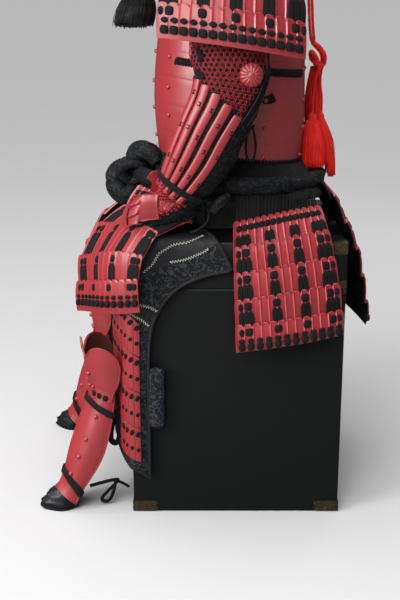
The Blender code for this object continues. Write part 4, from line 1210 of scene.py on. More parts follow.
BACK_CORD = [(0.000, 0.1520, 1.1100), (0.002, 0.1560, 1.0800), (0.004, 0.1580, 1.0450),
             (0.006, 0.1610, 1.0150), (0.008, 0.1650, 0.9960)]
CORD_RUNS = {
    "back_cord_near": BACK_CORD + [(0.0180, 0.1790, 0.9780), (0.0140, 0.1820, 0.9560),
                                   (0.0180, 0.1710, 0.9280), (0.0200, 0.1660, 0.8860),
                                   (0.0230, 0.1650, 0.8480)],
    "back_cord_far": BACK_CORD + [(-0.0040, 0.1820, 0.9760), (0.0000, 0.1860, 0.9560),
                                  (0.0030, 0.1820, 0.9280), (0.0020, 0.1830, 0.8860),
                                  (0.0010, 0.1840, 0.8480)]}


def twisted(shape, path, radius, plies=2, turns_per_metre=95.0, share=0.56, phase=0.0):
    """Strands laid round each other along a path."""
    up = Vector((0, 0.4, 1)).normalized()
    spokes, run, ahead_list = [], 0.0, []
    for i, centre in enumerate(path):
        ahead = heading(path, i)
        up = (up - ahead * up.dot(ahead))
        up = up.normalized() if up.length > 1e-4 else ahead.orthogonal().normalized()
        if i:
            run += (centre - path[i - 1]).length
        spokes.append((up.copy(), ahead.cross(up), run))
        ahead_list.append(ahead)
    for ply in range(plies):
        line = []
        for centre, (a, b, run) in zip(path, spokes):
            turn = math.tau * (run * turns_per_metre + ply / plies) + phase
            line.append(centre + (a * math.cos(turn) + b * math.sin(turn)) * radius * (1 - share))
        shape.tube(line, radius * share, 7)


def tassel(shape, head, top, bottom, half_top, half_bottom, threads, seed, lean=(0.0, 0.0)):
    """Hanging threads that spread from a head over a fluted core.

    bottom gives each thread's foot from how far back it hangs, so threads can rest on the sash.
    """
    def breadth(t, outward):
        return half_top + (half_bottom * outward - half_top) * math.sin(min(t * 1.9, 1.0) * math.pi / 2)
    rings, foot = [], max(bottom(0.0), bottom(0.3))
    for i in range(11):
        t = i / 10
        wide = breadth(t, 0.90)
        ring = []
        for j in range(40):
            turn, reach = math.tau * j / 40, wide * (0.9 if j % 2 else 1.0)
            ring.append(Vector((head[0] + lean[0] * t + reach * math.cos(turn),
                                head[1] + lean[1] * t + reach * math.sin(turn),
                                top + (foot + 0.006 - top) * t)))
        rings.append(ring)
    shape.loft(rings, 0, [(j / 40 * 30, -i) for i in range(11) for j in range(40)])
    for k in range(threads):
        turn = k * GOLDEN + seed
        wild = waver(k * 1.7, seed, 0.3)
        outward = 0.93 + 0.07 * ((k % 5) / 4) + (0.22 * wild if k % 6 == 0 else 0.04 * wild)
        ends = bottom(head[1] + lean[1] + half_bottom * outward * math.sin(turn))
        long = 1.0 + 0.030 * waver(k * 3.1, seed, 4.2)
        path = []
        for i in range(9):
            t = i / 8
            wide = breadth(t, outward)
            sway = 0.0026 * waver(k * 0.9, t * 3.0, seed) * (0.3 + t)
            path.append(Vector((head[0] + lean[0] * t + wide * math.cos(turn) + sway,
                                head[1] + lean[1] * t + wide * math.sin(turn) + sway,
                                top + (ends - top) * t * long)))
        shape.tube(path, 0.00095, 4)


class ARMOUR_OT_back_cord(bpy.types.Operator):
    """The twisted back cord, its knot and its two tassels"""
    bl_idname = "armour.back_cord"
    bl_label = "Back cord"

    def execute(self, context):
        sizes = context.scene.armour_sizes
        for number, (name, points) in enumerate(CORD_RUNS.items()):
            path = through(points, 110)
            shift = 0.0034 if number else -0.0034
            apart = [p + Vector((0, shift * (1 - soft_step(0.35, 0.5, i / 109)), 0))
                     for i, p in enumerate(path)]
            shape = Shape()
            twisted(shape, apart, 0.0036, plies=3, share=0.58)
            piece = build(name, shape, ["Red cord"], "red_silk",
                          () if number else ("back_cord",), sharp=180)
        self.knot()
        shape = Shape()

        def resting(back):
            return 0.712 if back > 0.2035 else 0.7385
        for seed, head, lean, half in ((0.4, (0.0230, 0.1650), (0.014, 0.000), 0.0250),
                                       (2.1, (0.0010, 0.1840), (-0.004, 0.010), 0.0260)):
            twisted(shape, [Vector((head[0] + 0.0066 * math.cos(a), head[1] + 0.0066 * math.sin(a), 0.844))
                            for a in (math.tau * k / 24 for k in range(25))], 0.0034, plies=2)
            levels = ((0.853, 0.30), (0.849, 0.70), (0.842, 0.98), (0.832, 1.0), (0.824, 0.90))
            dome = [[Vector((head[0] + 0.0098 * wide * math.cos(turn),
                             head[1] + 0.0098 * wide * math.sin(turn), rise))
                     for turn in circle(18)] for rise, wide in levels]
            shape.loft(dome, uvs=[(j / 18 * 16, i) for i in range(5) for j in range(18)])
            tassel(shape, head, 0.836, resting, 0.0100, half, sizes.tassel_threads, seed, lean)
        tassel(shape, (-0.014, 0.1700), 0.9480, lambda back: 0.7900, 0.0070, 0.0190,
               sizes.tassel_threads // 2, 3.7, (0.0, 0.002))
        build("back_tassels", shape, ["Red threads"], "red_silk", ("back_tassel",), sharp=180)
        return {"FINISHED"}

    def knot(self):
        """The figure knot where the two cords cross."""
        shape = Shape()
        loops = [
            [(0.004, 0.163, 0.9980), (0.018, 0.176, 0.9900), (0.026, 0.186, 0.9740), (0.014, 0.187, 0.9560),
             (-0.004, 0.180, 0.9480), (-0.010, 0.168, 0.9580), (0.000, 0.160, 0.9720), (0.016, 0.160, 0.9800),
             (0.026, 0.168, 0.9700), (0.020, 0.176, 0.9520), (0.010, 0.176, 0.9380)],
            [(0.010, 0.165, 0.9980), (-0.006, 0.176, 0.9900), (-0.012, 0.186, 0.9760), (0.000, 0.189, 0.9620),
             (0.016, 0.184, 0.9540), (0.024, 0.172, 0.9560), (0.014, 0.162, 0.9640), (-0.002, 0.162, 0.9660),
             (-0.008, 0.170, 0.9560), (0.004, 0.176, 0.9440), (0.012, 0.178, 0.9340)]]
        for number, points in enumerate(loops):
            twisted(shape, through(points, 90), 0.0054, plies=3, turns_per_metre=70.0, share=0.58,
                    phase=number * 1.3)
        build("back_cord_knot", shape, ["Red cord"], "red_silk", ("back_knot",), sharp=180)


# ---------------------------------------------------------------- box and stand



def bracket(shape, corner, along, other, up, reach, height, thick=0.0014):
    """A brass corner plate wrapped round an upright edge, with a lobed inner end and nails.

    along and other run inwards from the corner, along the two sides it covers.
    """
    for direction, face in ((along, other), (other, along)):
        columns, rows = 4, 7
        outer, inner = [], []
        for r in range(rows):
            line, back = [], []
            for c in range(columns):
                share = c / (columns - 1)
                tall = height * r / (rows - 1)
                lobe = 0.86 + 0.14 * abs(math.sin(math.tau * r / (rows - 1)))
                place = corner + direction * (reach * share * lobe - thick) + up * tall
                line.append(place - face * thick)
                back.append(place - face * 0.0001)
            outer.append(line)
            inner.append(back)
        shape.slab(outer, inner)
        for share, rise in ((0.12, 0.2), (0.45, 0.28), (0.80, 0.2), (0.14, 0.62)):
            rivet(shape, corner + direction * reach * share + up * height * rise - face * thick, -face,
                  0.0018)


class ARMOUR_OT_storage_box(bpy.types.Operator):
    """The black storage box with its lid and brass corners"""
    bl_idname = "armour.storage_box"
    bl_label = "Storage box"

    def execute(self, context):
        half = BOX_SIDE / 2
        for name, low, high, opens_up in (("storage_box", 0.0, BOX_SEAM - GAP / 2, True),
                                          ("box_lid", BOX_SEAM + GAP / 2, BOX_TOP, False)):
            shape = Shape()
            shut, rim = (low, high) if opens_up else (high, low)
            sign = 1 if opens_up else -1
            rings = []
            inner_half = half - BOX_WALL
            for size, z in ((half - 0.004, shut), (half - 0.0012, shut + sign * 0.0012),
                            (half, shut + sign * 0.004), (half, (shut + rim) / 2),
                            (half, rim - sign * 0.0022), (half - 0.0010, rim - sign * 0.0006),
                            (half - 0.0026, rim),
                            (inner_half, rim), (inner_half, shut + sign * BOX_WALL)):
                rings.append(self.rounded_square(size, z))
            shape.loft(rings)
            build(name + "_panels", shape, ["Box lacquer"], "black_box_lacquer", (name,), sharp=30)
        brass = Shape()
        up = Vector((0, 0, 1))
        for sx in (-1, 1):
            for sy in (-1, 1):
                corner = Vector((sx * half, sy * half, 0.0))
                along, other = Vector((-sx, 0, 0)), Vector((0, -sy, 0))
                bracket(brass, corner + up * 0.002, along, other, up, 0.056, 0.024)
                if sy > 0:
                    bracket(brass, corner + up * (BOX_TOP - 0.001), along, other, -up, 0.040, 0.024)
                    bracket(brass, corner + up * (BOX_SEAM + 0.001), along, other, up, 0.026, 0.018)
                    bracket(brass, corner + up * (BOX_SEAM - 0.001), along, other, -up, 0.026, 0.010)
        build("box_corners", brass, ["Aged brass"], "black_box_lacquer")
        return {"FINISHED"}

    def rounded_square(self, half, z):
        ring, corner = [], 0.0035
        for quarter in range(4):
            cx, cy = ((1, 1), (-1, 1), (-1, -1), (1, -1))[quarter]
            for k in range(5):
                turn = math.pi / 2 * (quarter + k / 4)
                ring.append(Vector((cx * (half - corner) + corner * math.cos(turn),
                                    cy * (half - corner) + corner * math.sin(turn), z)))
        return ring


class ARMOUR_OT_stand(bpy.types.Operator):
    """Finish for the wooden stand under the cuirass"""
    bl_idname = "armour.stand"
    bl_label = "Stand"

    def execute(self, context):
        for name in ("stand_block", "stand_frame"):
            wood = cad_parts[name]
            for place in wood.material_slots:
                place.material = finish("Stand wood")
        return {"FINISHED"}


# ---------------------------------------------------------------- waist: cords and sash

CURTAIN_HEM = (0.199, 0.190, 0.172, 0.690)
SASH_RADIUS = 0.0165
SASH_RING = (0.2060, 0.2110, 0.1820)
SASH_UPPER = [(0.028, -0.2180, 0.7400), (0.034, -0.2230, 0.7560), (0.042, -0.2130, 0.7710),
              (0.051, -0.1950, 0.7740), (0.060, -0.1800, 0.7660), (0.066, -0.1700, 0.7500)]
SASH_LOWER = [(0.004, -0.2460, 0.7360), (0.003, -0.2610, 0.7220), (0.005, -0.2670, 0.7010),
              (0.011, -0.2600, 0.6830), (0.020, -0.2450, 0.6720), (0.030, -0.2290, 0.6770),
              (0.034, -0.2220, 0.6940)]
SASH_END = [(0.2350, -0.0200, 0.7110), (0.2400, -0.0320, 0.7040), (0.2420, -0.0440, 0.6930),
            (0.2410, -0.0520, 0.6780)]


class ARMOUR_OT_curtain(bpy.types.Operator):
    """The black cords that hang the skirt from the waist"""
    bl_idname = "armour.curtain"
    bl_label = "Waist cords"

    def execute(self, context):
        breadth, front, back, level = CURTAIN_HEM
        back += 0.015
        strands = context.scene.armour_sizes.curtain_strands
        columns = strands * 6
        rows = [[] for _ in range(12)]
        for c in range(columns):
            angle = math.tau * c / columns
            top = ring_point(angle, ring_bottom(angle), -0.002)
            top.z -= 2 * GAP + PLATE * 0.2
            depth = back if math.sin(angle) > 0 else front
            wide, deep = squircle(angle, 2 + 1.8 * soft_step(0.05, 0.7, math.sin(angle)))
            hem = Vector((breadth * wide, depth * deep, level))
            out = Vector((hem.x, hem.y, 0)).normalized()
            groove = -0.0030 * (1 - abs(math.sin(math.pi * c / 6)) ** 0.6)
            groove += 0.0024 * waver(angle * 9, 0.2, 0.4)
            for r in range(12):
                t = r / 11
                place = top.lerp(hem, t) + Vector((0, 0, 0.004 * 4 * t * (1 - t)))
                drift = 0.0012 * waver(angle * 22, t * 2.5, 1.7)
                rows[r].append(place + out * (groove * (0.4 + 0.6 * t) + drift))
        shape = Shape()
        shape.slab(rows, moved_out(rows, -0.0010, closed=True), closed=True)
        piece = build("waist_cords", shape, ["Curtain cords"], "black_lacing", ("lacing_curtain",),
                      sharp=180)
        return {"FINISHED"}


def cloth_roll(shape, route, radius, twist, folds, seed, sides=22):
    """A rolled length of cloth: soft folds wind round it and it tightens here and there."""
    rings, uvs = [], []
    run = 0.0
    for i, centre in enumerate(route):
        ahead = heading(route, i)
        if i:
            run += (centre - route[i - 1]).length
        side = ahead.cross(Vector((0, 0, 1)))
        side = side.normalized() if side.length > 0.05 else Vector((1, 0, 0))
        rise = side.cross(ahead).normalized()
        size = radius(i / (len(route) - 1)) if callable(radius) else radius
        size *= 1 + 0.06 * waver(run * 28, seed, 0.0)
        ring = []
        for j in range(sides):
            turn = math.tau * j / sides
            fold = math.sin(turn * folds + run * twist + 2.0 * waver(run * 20, seed, 2.0))
            crease = -0.16 * max(0.0, fold) ** 3
            dent = 0.11 * waver(math.cos(turn) * 1.4, math.sin(turn) * 1.4, run * 34 + seed)
            reach = size * (1 + crease + dent)
            ring.append(centre + side * reach * math.cos(turn) + rise * reach * math.sin(turn))
            uvs.append((j / sides, run * 10))
        rings.append(ring)
    shape.loft(rings, 0, uvs)


class ARMOUR_OT_sash(bpy.types.Operator):
    """The rolled brocade sash with its knot, bows and end"""
    bl_idname = "armour.sash"
    bl_label = "Sash"

    def execute(self, context):
        breadth, front, back = SASH_RING
        route, opening, count = [], math.radians(6), 150
        for i in range(count + 1):
            angle = -math.pi / 2 + opening + (math.tau - 2 * opening) * i / count
            depth = back if math.sin(angle) > 0 else front
            height = 0.7225 + 0.0035 * math.cos(2 * angle) - 0.004 * math.sin(angle)
            route.append(Vector((breadth * math.cos(angle), depth * math.sin(angle), height)))
        shape = Shape()
        cloth_roll(shape, route, lambda t: SASH_RADIUS * (1.02 + 0.12 * math.sin(math.pi * t)),
                   26.0, 2, 0.7)
        pieces = [build("sash_roll", shape, ["Black brocade"], "black_brocade", ("sash_band",),
                        sharp=180)]
        shape = Shape()
        knot_route = [Vector((-0.0225 + 0.0520 * i / 16, -0.226, 0.726)) for i in range(17)]
        cloth_roll(shape, knot_route, lambda t: 0.0300 * math.sqrt(max(0.12, math.sin(math.pi * t))), 90.0,
                   2, 3.1)
        for x, tilt, seed in ((0.016, 0.8, 5.0), (0.028, -0.9, 8.0), (0.036, 0.2, 9.5)):
            wrap = []
            for k in range(37):
                turn = math.tau * k / 36
                wrap.append(Vector((x + 0.012 * math.sin(turn + tilt), -0.226 + 0.0250 * math.cos(turn),
                                    0.726 + 0.0205 * math.sin(turn) + 0.010 * tilt * math.cos(turn))))
            cloth_roll(shape, wrap, 0.0118, 60.0, 2, seed, sides=16)
        pieces.append(build("sash_knot_cloth", shape, ["Black brocade"], "black_brocade",
                            ("sash_knot",), sharp=180))
        for name, points, node, seed in (("sash_upper_loop", SASH_UPPER, "sash_bow_upper", 1.9),
                                         ("sash_lower_loop", SASH_LOWER, "sash_bow_lower", 4.2)):
            shape = Shape()
            thin = 0.0150 if name == "sash_upper_loop" else 0.0176
            cloth_roll(shape, through(points, 70), lambda t: thin + 0.0072 * math.sin(math.pi * t), 34.0, 3,
                       seed, sides=30)
            pieces.append(build(name, shape, ["Black brocade"], "black_brocade", (node,), sharp=180))
        shape = Shape()
        cloth_roll(shape, through(SASH_END, 40), lambda t: 0.0085 + 0.0032 * math.sin(math.pi * t),
                   30.0, 2, 6.6)
        pieces.append(build("sash_loose_end", shape, ["Black brocade"], "black_brocade",
                            ("sash_end",), sharp=180))
        return {"FINISHED"}


# ---------------------------------------------------------------- sleeves

# centre x, y, z, then half breadth in the arm's bending plane and half depth across it
SLEEVE = [(0.180, -0.012, 1.148, 0.060, 0.034),
          (0.214, -0.016, 1.095, 0.066, 0.038),
          (0.240, -0.022, 1.040, 0.071, 0.043),
          (0.254, -0.024, 0.990, 0.073, 0.046),
          (0.258, -0.020, 0.948, 0.071, 0.048),
          (0.258, -0.030, 0.900, 0.069, 0.048),
          (0.255, -0.055, 0.845, 0.066, 0.046),
          (0.249, -0.080, 0.786, 0.064, 0.042),
          (0.240, -0.111, 0.731, 0.052, 0.036),
          (0.233, -0.126, 0.711, 0.047, 0.034)]
SLEEVE_END = len(SLEEVE) - 1
SPLINT_END = 8.70
# angle on the sleeve at the elbow end and the wrist end, and where the splint starts
SPLINTS = [(-62, -66, 4.25), (-40, -49, 4.45), (-18, -31, 4.70), (4, -12, 4.95), (26, 8, 5.20)]
SPLINT_HALF = 0.0100
SPLINT_TAPER = 0.0034
SPLINT_RISE = 0.0048
# along the sleeve: the front and rear limits of its mail in degrees
MAIL_EDGES = [(0.30, -104, 78), (2.6, -96, 76), (3.2, -92, 74), (3.7, -66, 62), (4.3, -72, 47),
              (5.05, -74, 33), (5.35, -74, 29)]
DISC_CENTRE = Vector((0.3075, 0.0180, 0.9550))
DISC_RADIUS = 0.0226
DISC_DOME = 0.0100
# the plate over the back of the hand: front edge x, y, z, then rear edge x, y, z
HAND_GUARD = [(0.218, -0.219, 0.699, 0.250, -0.164, 0.718),
              (0.214, -0.230, 0.679, 0.256, -0.165, 0.702),
              (0.207, -0.238, 0.657, 0.254, -0.163, 0.684),
              (0.200, -0.239, 0.636, 0.248, -0.161, 0.668)]
HAND_SWELL = Vector((0.62, -0.30, 0.30)) * 0.022
# the cloth under the hand: along the plate's lower edge, then its free edge
HAND_CLOTH = [[(0.211, -0.225, 0.641), (0.224, -0.200, 0.649), (0.233, -0.180, 0.658),
               (0.240, -0.161, 0.670), (0.244, -0.135, 0.684), (0.244, -0.110, 0.694)],
              [(0.212, -0.219, 0.628), (0.224, -0.195, 0.636), (0.233, -0.172, 0.645),
               (0.238, -0.149, 0.657), (0.240, -0.120, 0.671), (0.236, -0.094, 0.684)],
              [(0.203, -0.215, 0.618), (0.213, -0.190, 0.625), (0.221, -0.161, 0.635),
               (0.224, -0.136, 0.646), (0.222, -0.103, 0.659), (0.214, -0.076, 0.674)]]
# distance back and height round the thumb plate
THUMB_PLATE = [(-0.1745, 0.7605), (-0.1574, 0.7620), (-0.1500, 0.7440), (-0.1443, 0.7269),
               (-0.1520, 0.7180), (-0.1605, 0.7140), (-0.1802, 0.7195), (-0.1765, 0.7290),
               (-0.1752, 0.7362), (-0.1785, 0.7428), (-0.1852, 0.7446), (-0.1850, 0.7478),
               (-0.1815, 0.7520), (-0.1784, 0.7570)]
SLEEVE_LOOP = [(0.206, 0.0300, 0.8480), (0.203, 0.0200, 0.8360), (0.201, 0.0150, 0.8200),
               (0.2005, 0.0140, 0.7980), (0.2010, 0.0170, 0.7820), (0.2015, 0.0235, 0.7760),
               (0.2015, 0.0305, 0.7830), (0.2010, 0.0335, 0.8050), (0.2010, 0.0310, 0.8270),
               (0.203, 0.0280, 0.8400), (0.206, 0.0270, 0.8480)]
WRIST_TIE = [(0.214, -0.0830, 0.7060), (0.226, -0.0790, 0.6960), (0.228, -0.0680, 0.6880),
             (0.226, -0.0600, 0.6740), (0.224, -0.0660, 0.6520), (0.222, -0.0810, 0.6390),
             (0.220, -0.0980, 0.6310)]


@lru_cache(None)
def sleeve_point(along, degrees, grow=0.0):
    """A point of the sleeve; angle 0 faces out from the body and 90 faces back."""
    angle = math.radians(degrees)
    k = min(int(along), SLEEVE_END - 1)
    t = along - k
    rows = [SLEEVE[min(max(i, 0), SLEEVE_END)] for i in (k - 1, k, k + 1, k + 2)]
    row = [between(*values, t) for values in zip(*rows)]
    direction = Vector(SLEEVE[min(k + 1, SLEEVE_END)][:3]) - Vector(SLEEVE[max(k - 1, 0)][:3])
    after = Vector(SLEEVE[min(k + 2, SLEEVE_END)][:3]) - Vector(SLEEVE[max(k, 0)][:3])
    direction = direction.normalized().lerp(after.normalized(), t).normalized()
    back = Vector((1, 0, 0)).cross(direction).normalized()
    out = direction.cross(back).normalized()
    return (Vector(row[:3]) + out * (row[4] + grow) * math.cos(angle)
            + back * (row[3] + grow) * math.sin(angle))


def sleeve_frame(along, degrees, grow=0.0):
    """The point with its way round the arm, down the arm and out."""
    centre = sleeve_point(along, degrees, grow)
    step = 0.02 if along < SLEEVE_END - 0.03 else -0.02
    around = (sleeve_point(along, degrees + 1, grow) - centre).normalized()
    down = (sleeve_point(along + step, degrees, grow) - centre).normalized() * (1 if step > 0 else -1)
    out = around.cross(down).normalized()
    return centre, around, down, -out if out.dot(centre - sleeve_point(along, degrees, -0.01)) < 0 else out


def mail_sites(pitch):
    """Where the big rings sit: rows of equal steps down the sleeve, each with its angles."""
    rows, along, middle, side = [], MAIL_EDGES[0][0], -20.0, 34
    while along < MAIL_EDGES[-1][0]:
        line = {}
        for sign in (1, -1):
            at = middle
            for c in range(side):
                if c or sign > 0:
                    step = 0.5 if (c == 0 and len(rows) % 2) else (1.0 if c else 0.0)
                    if sign < 0 and c == 1 and len(rows) % 2:
                        step = 0.5
                    speed = (sleeve_point(along, at + 1) - sleeve_point(along, at)).length
                    at += sign * step * pitch / speed
                    line[sign * c] = at
        rows.append((along, line))
        speed = (sleeve_point(along + 0.02, middle) - sleeve_point(along, middle)).length / 0.02
        along += pitch * 0.866 / speed
    return rows


def mail_holds(along, degrees):
    front, rear = table_value(MAIL_EDGES, 1, along), table_value(MAIL_EDGES, 2, along)
    foot = 4.28 + 0.0108 * (degrees + 62)
    return front < degrees < rear and along < min(foot, MAIL_EDGES[-1][0])


class ARMOUR_OT_sleeves(bpy.types.Operator):
    """The armoured sleeves: cloth, mail, discs, splints, straps and hand plates"""
    bl_idname = "armour.sleeves"
    bl_label = "Sleeves"

    def execute(self, context):
        sizes = context.scene.armour_sizes
        self.cloth()
        self.mail(sizes.mail_pitch)
        self.splints()
        self.disc()
        self.hand()
        self.ties()
        return {"FINISHED"}

    def cloth(self):
        """The padded cloth tube with its creases at the elbow and a bound edge strip."""
        rows, columns = 76, 56
        outer = []
        for r in range(rows):
            along = SLEEVE_END * r / (rows - 1)
            line = []
            for c in range(columns):
                degrees = 360 * c / columns
                bare = 0.25 + 0.75 * soft_step(58, 100, abs((degrees + 20 + 180) % 360 - 180))
                elbow = math.exp(-((along - 4.3) / 0.9) ** 2)
                turn = math.radians(degrees)
                folds = 0.0034 * elbow * math.sin(along * 11 + 2 * math.sin(turn))
                drift = 0.0044 * waver(along * 1.7, math.cos(turn) * 1.4, math.sin(turn) * 1.4 + 3)
                quilt = 0.0011 * waver(along * 6, degrees / 14, 5.0)
                edge = soft_step(0, 0.25, along) * (1 - soft_step(8.7, 9.0, along))
                line.append(sleeve_point(along, degrees, bare * edge * (folds + drift + quilt - 0.0012)))
            outer.append(line)
        shape = Shape()
        shape.slab(outer, moved_out(outer, -CLOTH, closed=True), closed=True, inner_kind=1)
        for side, one in (("_L", shape), ("_R", shape.mirrored())):
            piece = build("sleeve_cloth" + side, one, ["Black brocade", "Plain black cloth"],
                          "black_brocade", ("sleeve_outer" + side, "sleeve_inner" + side), sharp=180)
        border = Shape()
        path, outs = [], []
        for i in range(70):
            along = 0.05 + 5.35 * i / 69
            rear = table_value(MAIL_EDGES, 2, along) + 14
            centre, around, down, out = sleeve_frame(along, rear, 0.0030)
            path.append(centre)
            outs.append(out)
        border.band(path, outs, 0.0078, 0.0016, sides=10, power=4)
        for offset in (-0.0078, 0.0078):
            line = []
            for i, centre in enumerate(path):
                side = heading(path, i).cross(outs[i]).normalized()
                line.append(centre + side * offset + outs[i] * 0.0006)
            border.tube(line, 0.0014, 6, kind=1)
        build_pair("sleeve_border", border, ["Plain black cloth", "Dark piping"],
                   "black_brocade")

    def mail(self, pitch):
        """Big rings on a staggered lattice, each three joined by a small ring."""
        noise.seed_set(MAIL_SEED)
        shape = Shape()
        rows = mail_sites(pitch)
        big, small, lift = pitch * 0.395, pitch * 0.140, 0.0021
        for r, (along, line) in enumerate(rows):
            for c, degrees in line.items():
                if mail_holds(along, degrees):
                    self.link(shape, along, degrees, big, 0.00060, lift, 11, 4)
            if r + 1 == len(rows):
                continue
            below_along, below = rows[r + 1]
            shift = 1 if r % 2 else 0
            for c in line:
                for trio in (((along, line.get(c)), (along, line.get(c + 1)),
                              (below_along, below.get(c + shift))),
                             ((below_along, below.get(c)), (below_along, below.get(c + 1)),
                              (along, line.get(c + 1 - shift)))):
                    if all(d is not None and mail_holds(a, d) for a, d in trio):
                        self.link(shape, sum(a for a, d in trio) / 3, sum(d for a, d in trio) / 3,
                                  small, 0.00072, lift + 0.0007, 7, 3)
        patch = Shape()
        top = [sleeve_frame(8.62, -52 + 76 * k / 5, 0.0030)[0] for k in range(6)]
        foot = [Vector(HAND_GUARD[0][3:]).lerp(Vector(HAND_GUARD[3][3:]), k / 5) + Vector((0.001, 0, 0.001))
                for k in range(6)]
        top, foot = through(top, 17), through(foot, 17)
        for r in range(7):
            for c in range(9 - r % 2):
                at = 2 * c + r % 2
                a, b = top[at], foot[at]
                place = a.lerp(b, r / 6) + Vector((0.007, 0, 0.002)) * math.sin(math.pi * r / 6)
                tilt = noise.noise_vector(place * 300) * 0.5
                across = heading(top, at) + tilt
                down = (b - a).normalized()
                across = (across - down * across.dot(down)).normalized()
                patch.ring(place, across, down, 0.0031, 0.00080, 9, 4)
        shape.points += [Vector(p) for p in patch.points]
        start = len(shape.points) - len(patch.points)
        shape.faces += [tuple(i + start for i in face) for face in patch.faces]
        shape.uvs += patch.uvs
        shape.kinds += patch.kinds
        build_pair("sleeve_mail", shape, ["Red mail"], "red_lacquer", sharp=180)

    def link(self, shape, along, degrees, radius, thick, lift, segments, sides):
        centre, around, down, out = sleeve_frame(round(along, 4), round(degrees, 2), lift)
        tilt = noise.noise_vector(centre * 160) * 0.42
        centre = centre + around * tilt.y * 0.0011 + down * tilt.x * 0.0011
        around = (around + out * tilt.x).normalized()
        down = (down + out * tilt.y)
        down = (down - around * down.dot(around)).normalized()
        shape.ring(centre + out * tilt.z * 0.002, around, down, radius, thick, segments, sides)

    def splints(self):
        """Five half-round bars with their paired stitches and the straps across the wrist."""
        bars, threads = Shape(), Shape()
        for number, (upper, lower, start) in enumerate(SPLINTS):
            rings, marks = [], []
            for i in range(27):
                share = i / 26
                along = start + (SPLINT_END - start) * share
                degrees = upper + (lower - upper) * share
                foot, around, down, out = sleeve_frame(along, degrees, 0.0018)
                half = (SPLINT_HALF - SPLINT_TAPER * share) * (1.0 if 0 < i < 26 else 0.90)
                ring = [foot + around * half * math.cos(math.pi * j / 12)
                        + out * SPLINT_RISE * (1.0 if 0 < i < 26 else 0.86)
                        * math.sin(math.pi * j / 12) ** 0.8 for j in range(13)]
                rings.append(ring)
                marks.append((foot, around, down, out, half))
            bars.loft(rings)
            for share in (0.16 + 0.03 * (number % 2), 0.42 - 0.02 * (number % 3), 0.66, 0.90):
                foot, around, down, out, half = marks[round(26 * share)]
                for off in (-0.0032, 0.0032):
                    path, outs = [], []
                    for k in range(5):
                        turn = math.radians(42 + 40 * k / 4 + 14 * (number % 2))
                        outs.append((around * math.cos(turn) + out * math.sin(turn)).normalized())
                        path.append(foot + down * off + around * (half + 0.0004) * math.cos(turn)
                                    + out * (SPLINT_RISE + 0.0005) * math.sin(turn) ** 0.8)
                    threads.band(path, outs, 0.0012, 0.0007, sides=5)
                path = [foot + down * t + around * half * 0.45 + out * (SPLINT_RISE + 0.0001)
                        for t in (-0.0032, 0.0, 0.0032)]
                threads.tube(path, 0.0010, 5)
            foot, around, down, out, half = marks[0]
            for off in (-0.004, 0.0, 0.004):
                threads.ring(foot + around * off - down * 0.0012 + out * 0.0022, down, out, 0.0022, 0.0006,
                             8, 4)
        for width_off in (-0.0033, 0.0033):
            path, outs = [], []
            for i in range(61):
                degrees = -200 + 360 * i / 60
                lift = 0.0016 + 0.0062 * soft_step(92, 62, abs((degrees + 17 + 180) % 360 - 180))
                centre, around, down, out = sleeve_frame(7.98, degrees, lift)
                path.append(centre + down * width_off)
                outs.append(out)
            threads.band(path, outs, 0.0034, 0.0015, sides=8, power=3, kind=1)
        for side, turned in (("_L", (bars, threads)), ("_R", (bars.mirrored(), threads.mirrored()))):
            build("forearm_splints" + side, turned[0], ["Red lacquer"], "red_lacquer",
                  tuple("forearm_splint%s_%d" % (side, n) for n in range(1, 6)), sharp=50)
            build("splint_lacing" + side, turned[1], ["Black cord", "Black webbing"],
                  "black_lacing")

    def disc(self):
        """A fluted boss shaped like a many-petalled flower."""
        shape = Shape()
        petals, sides, rings = 14, 14 * 8, []
        for share, rise in ((0.96, -0.05), (1.0, 0.0), (1.0, 0.10), (0.95, 0.27), (0.84, 0.50),
                            (0.68, 0.72), (0.50, 0.87), (0.34, 0.94), (0.27, 0.90), (0.24, 0.93),
                            (0.20, 1.02), (0.10, 1.08), (0.02, 1.09)):
            ring = []
            for i in range(sides):
                turn = math.tau * i / sides
                lobe = abs(math.sin(turn * petals / 2)) ** 0.55
                wide = soft_step(0.26, 0.45, share)
                reach = DISC_RADIUS * share * (1 - 0.055 * (1 - lobe) * soft_step(0.7, 1.0, share))
                groove = 0.0015 * (1 - lobe) * wide
                ring.append(Vector((DISC_CENTRE.x + DISC_DOME * rise - groove,
                                    DISC_CENTRE.y + reach * math.cos(turn),
                                    DISC_CENTRE.z + reach * math.sin(turn))))
            rings.append(ring)
        shape.loft(rings)
        build_pair("elbow_boss", shape, ["Red lacquer"], "red_lacquer", "elbow_disc", sharp=60)

    def hand(self):
        """The hand plate with its knuckle folds, the thumb plate and the cloth under them."""
        shape = Shape()
        rows, columns = 37, 41
        lines = [through([row[:3] for row in HAND_GUARD], rows),
                 through([row[3:] for row in HAND_GUARD], rows)]
        base = []
        for r in range(rows):
            line = []
            for c in range(columns):
                share = c / (columns - 1)
                line.append(lines[0][r].lerp(lines[1][r], share) + HAND_SWELL * 4 * share * (1 - share))
            base.append(line)

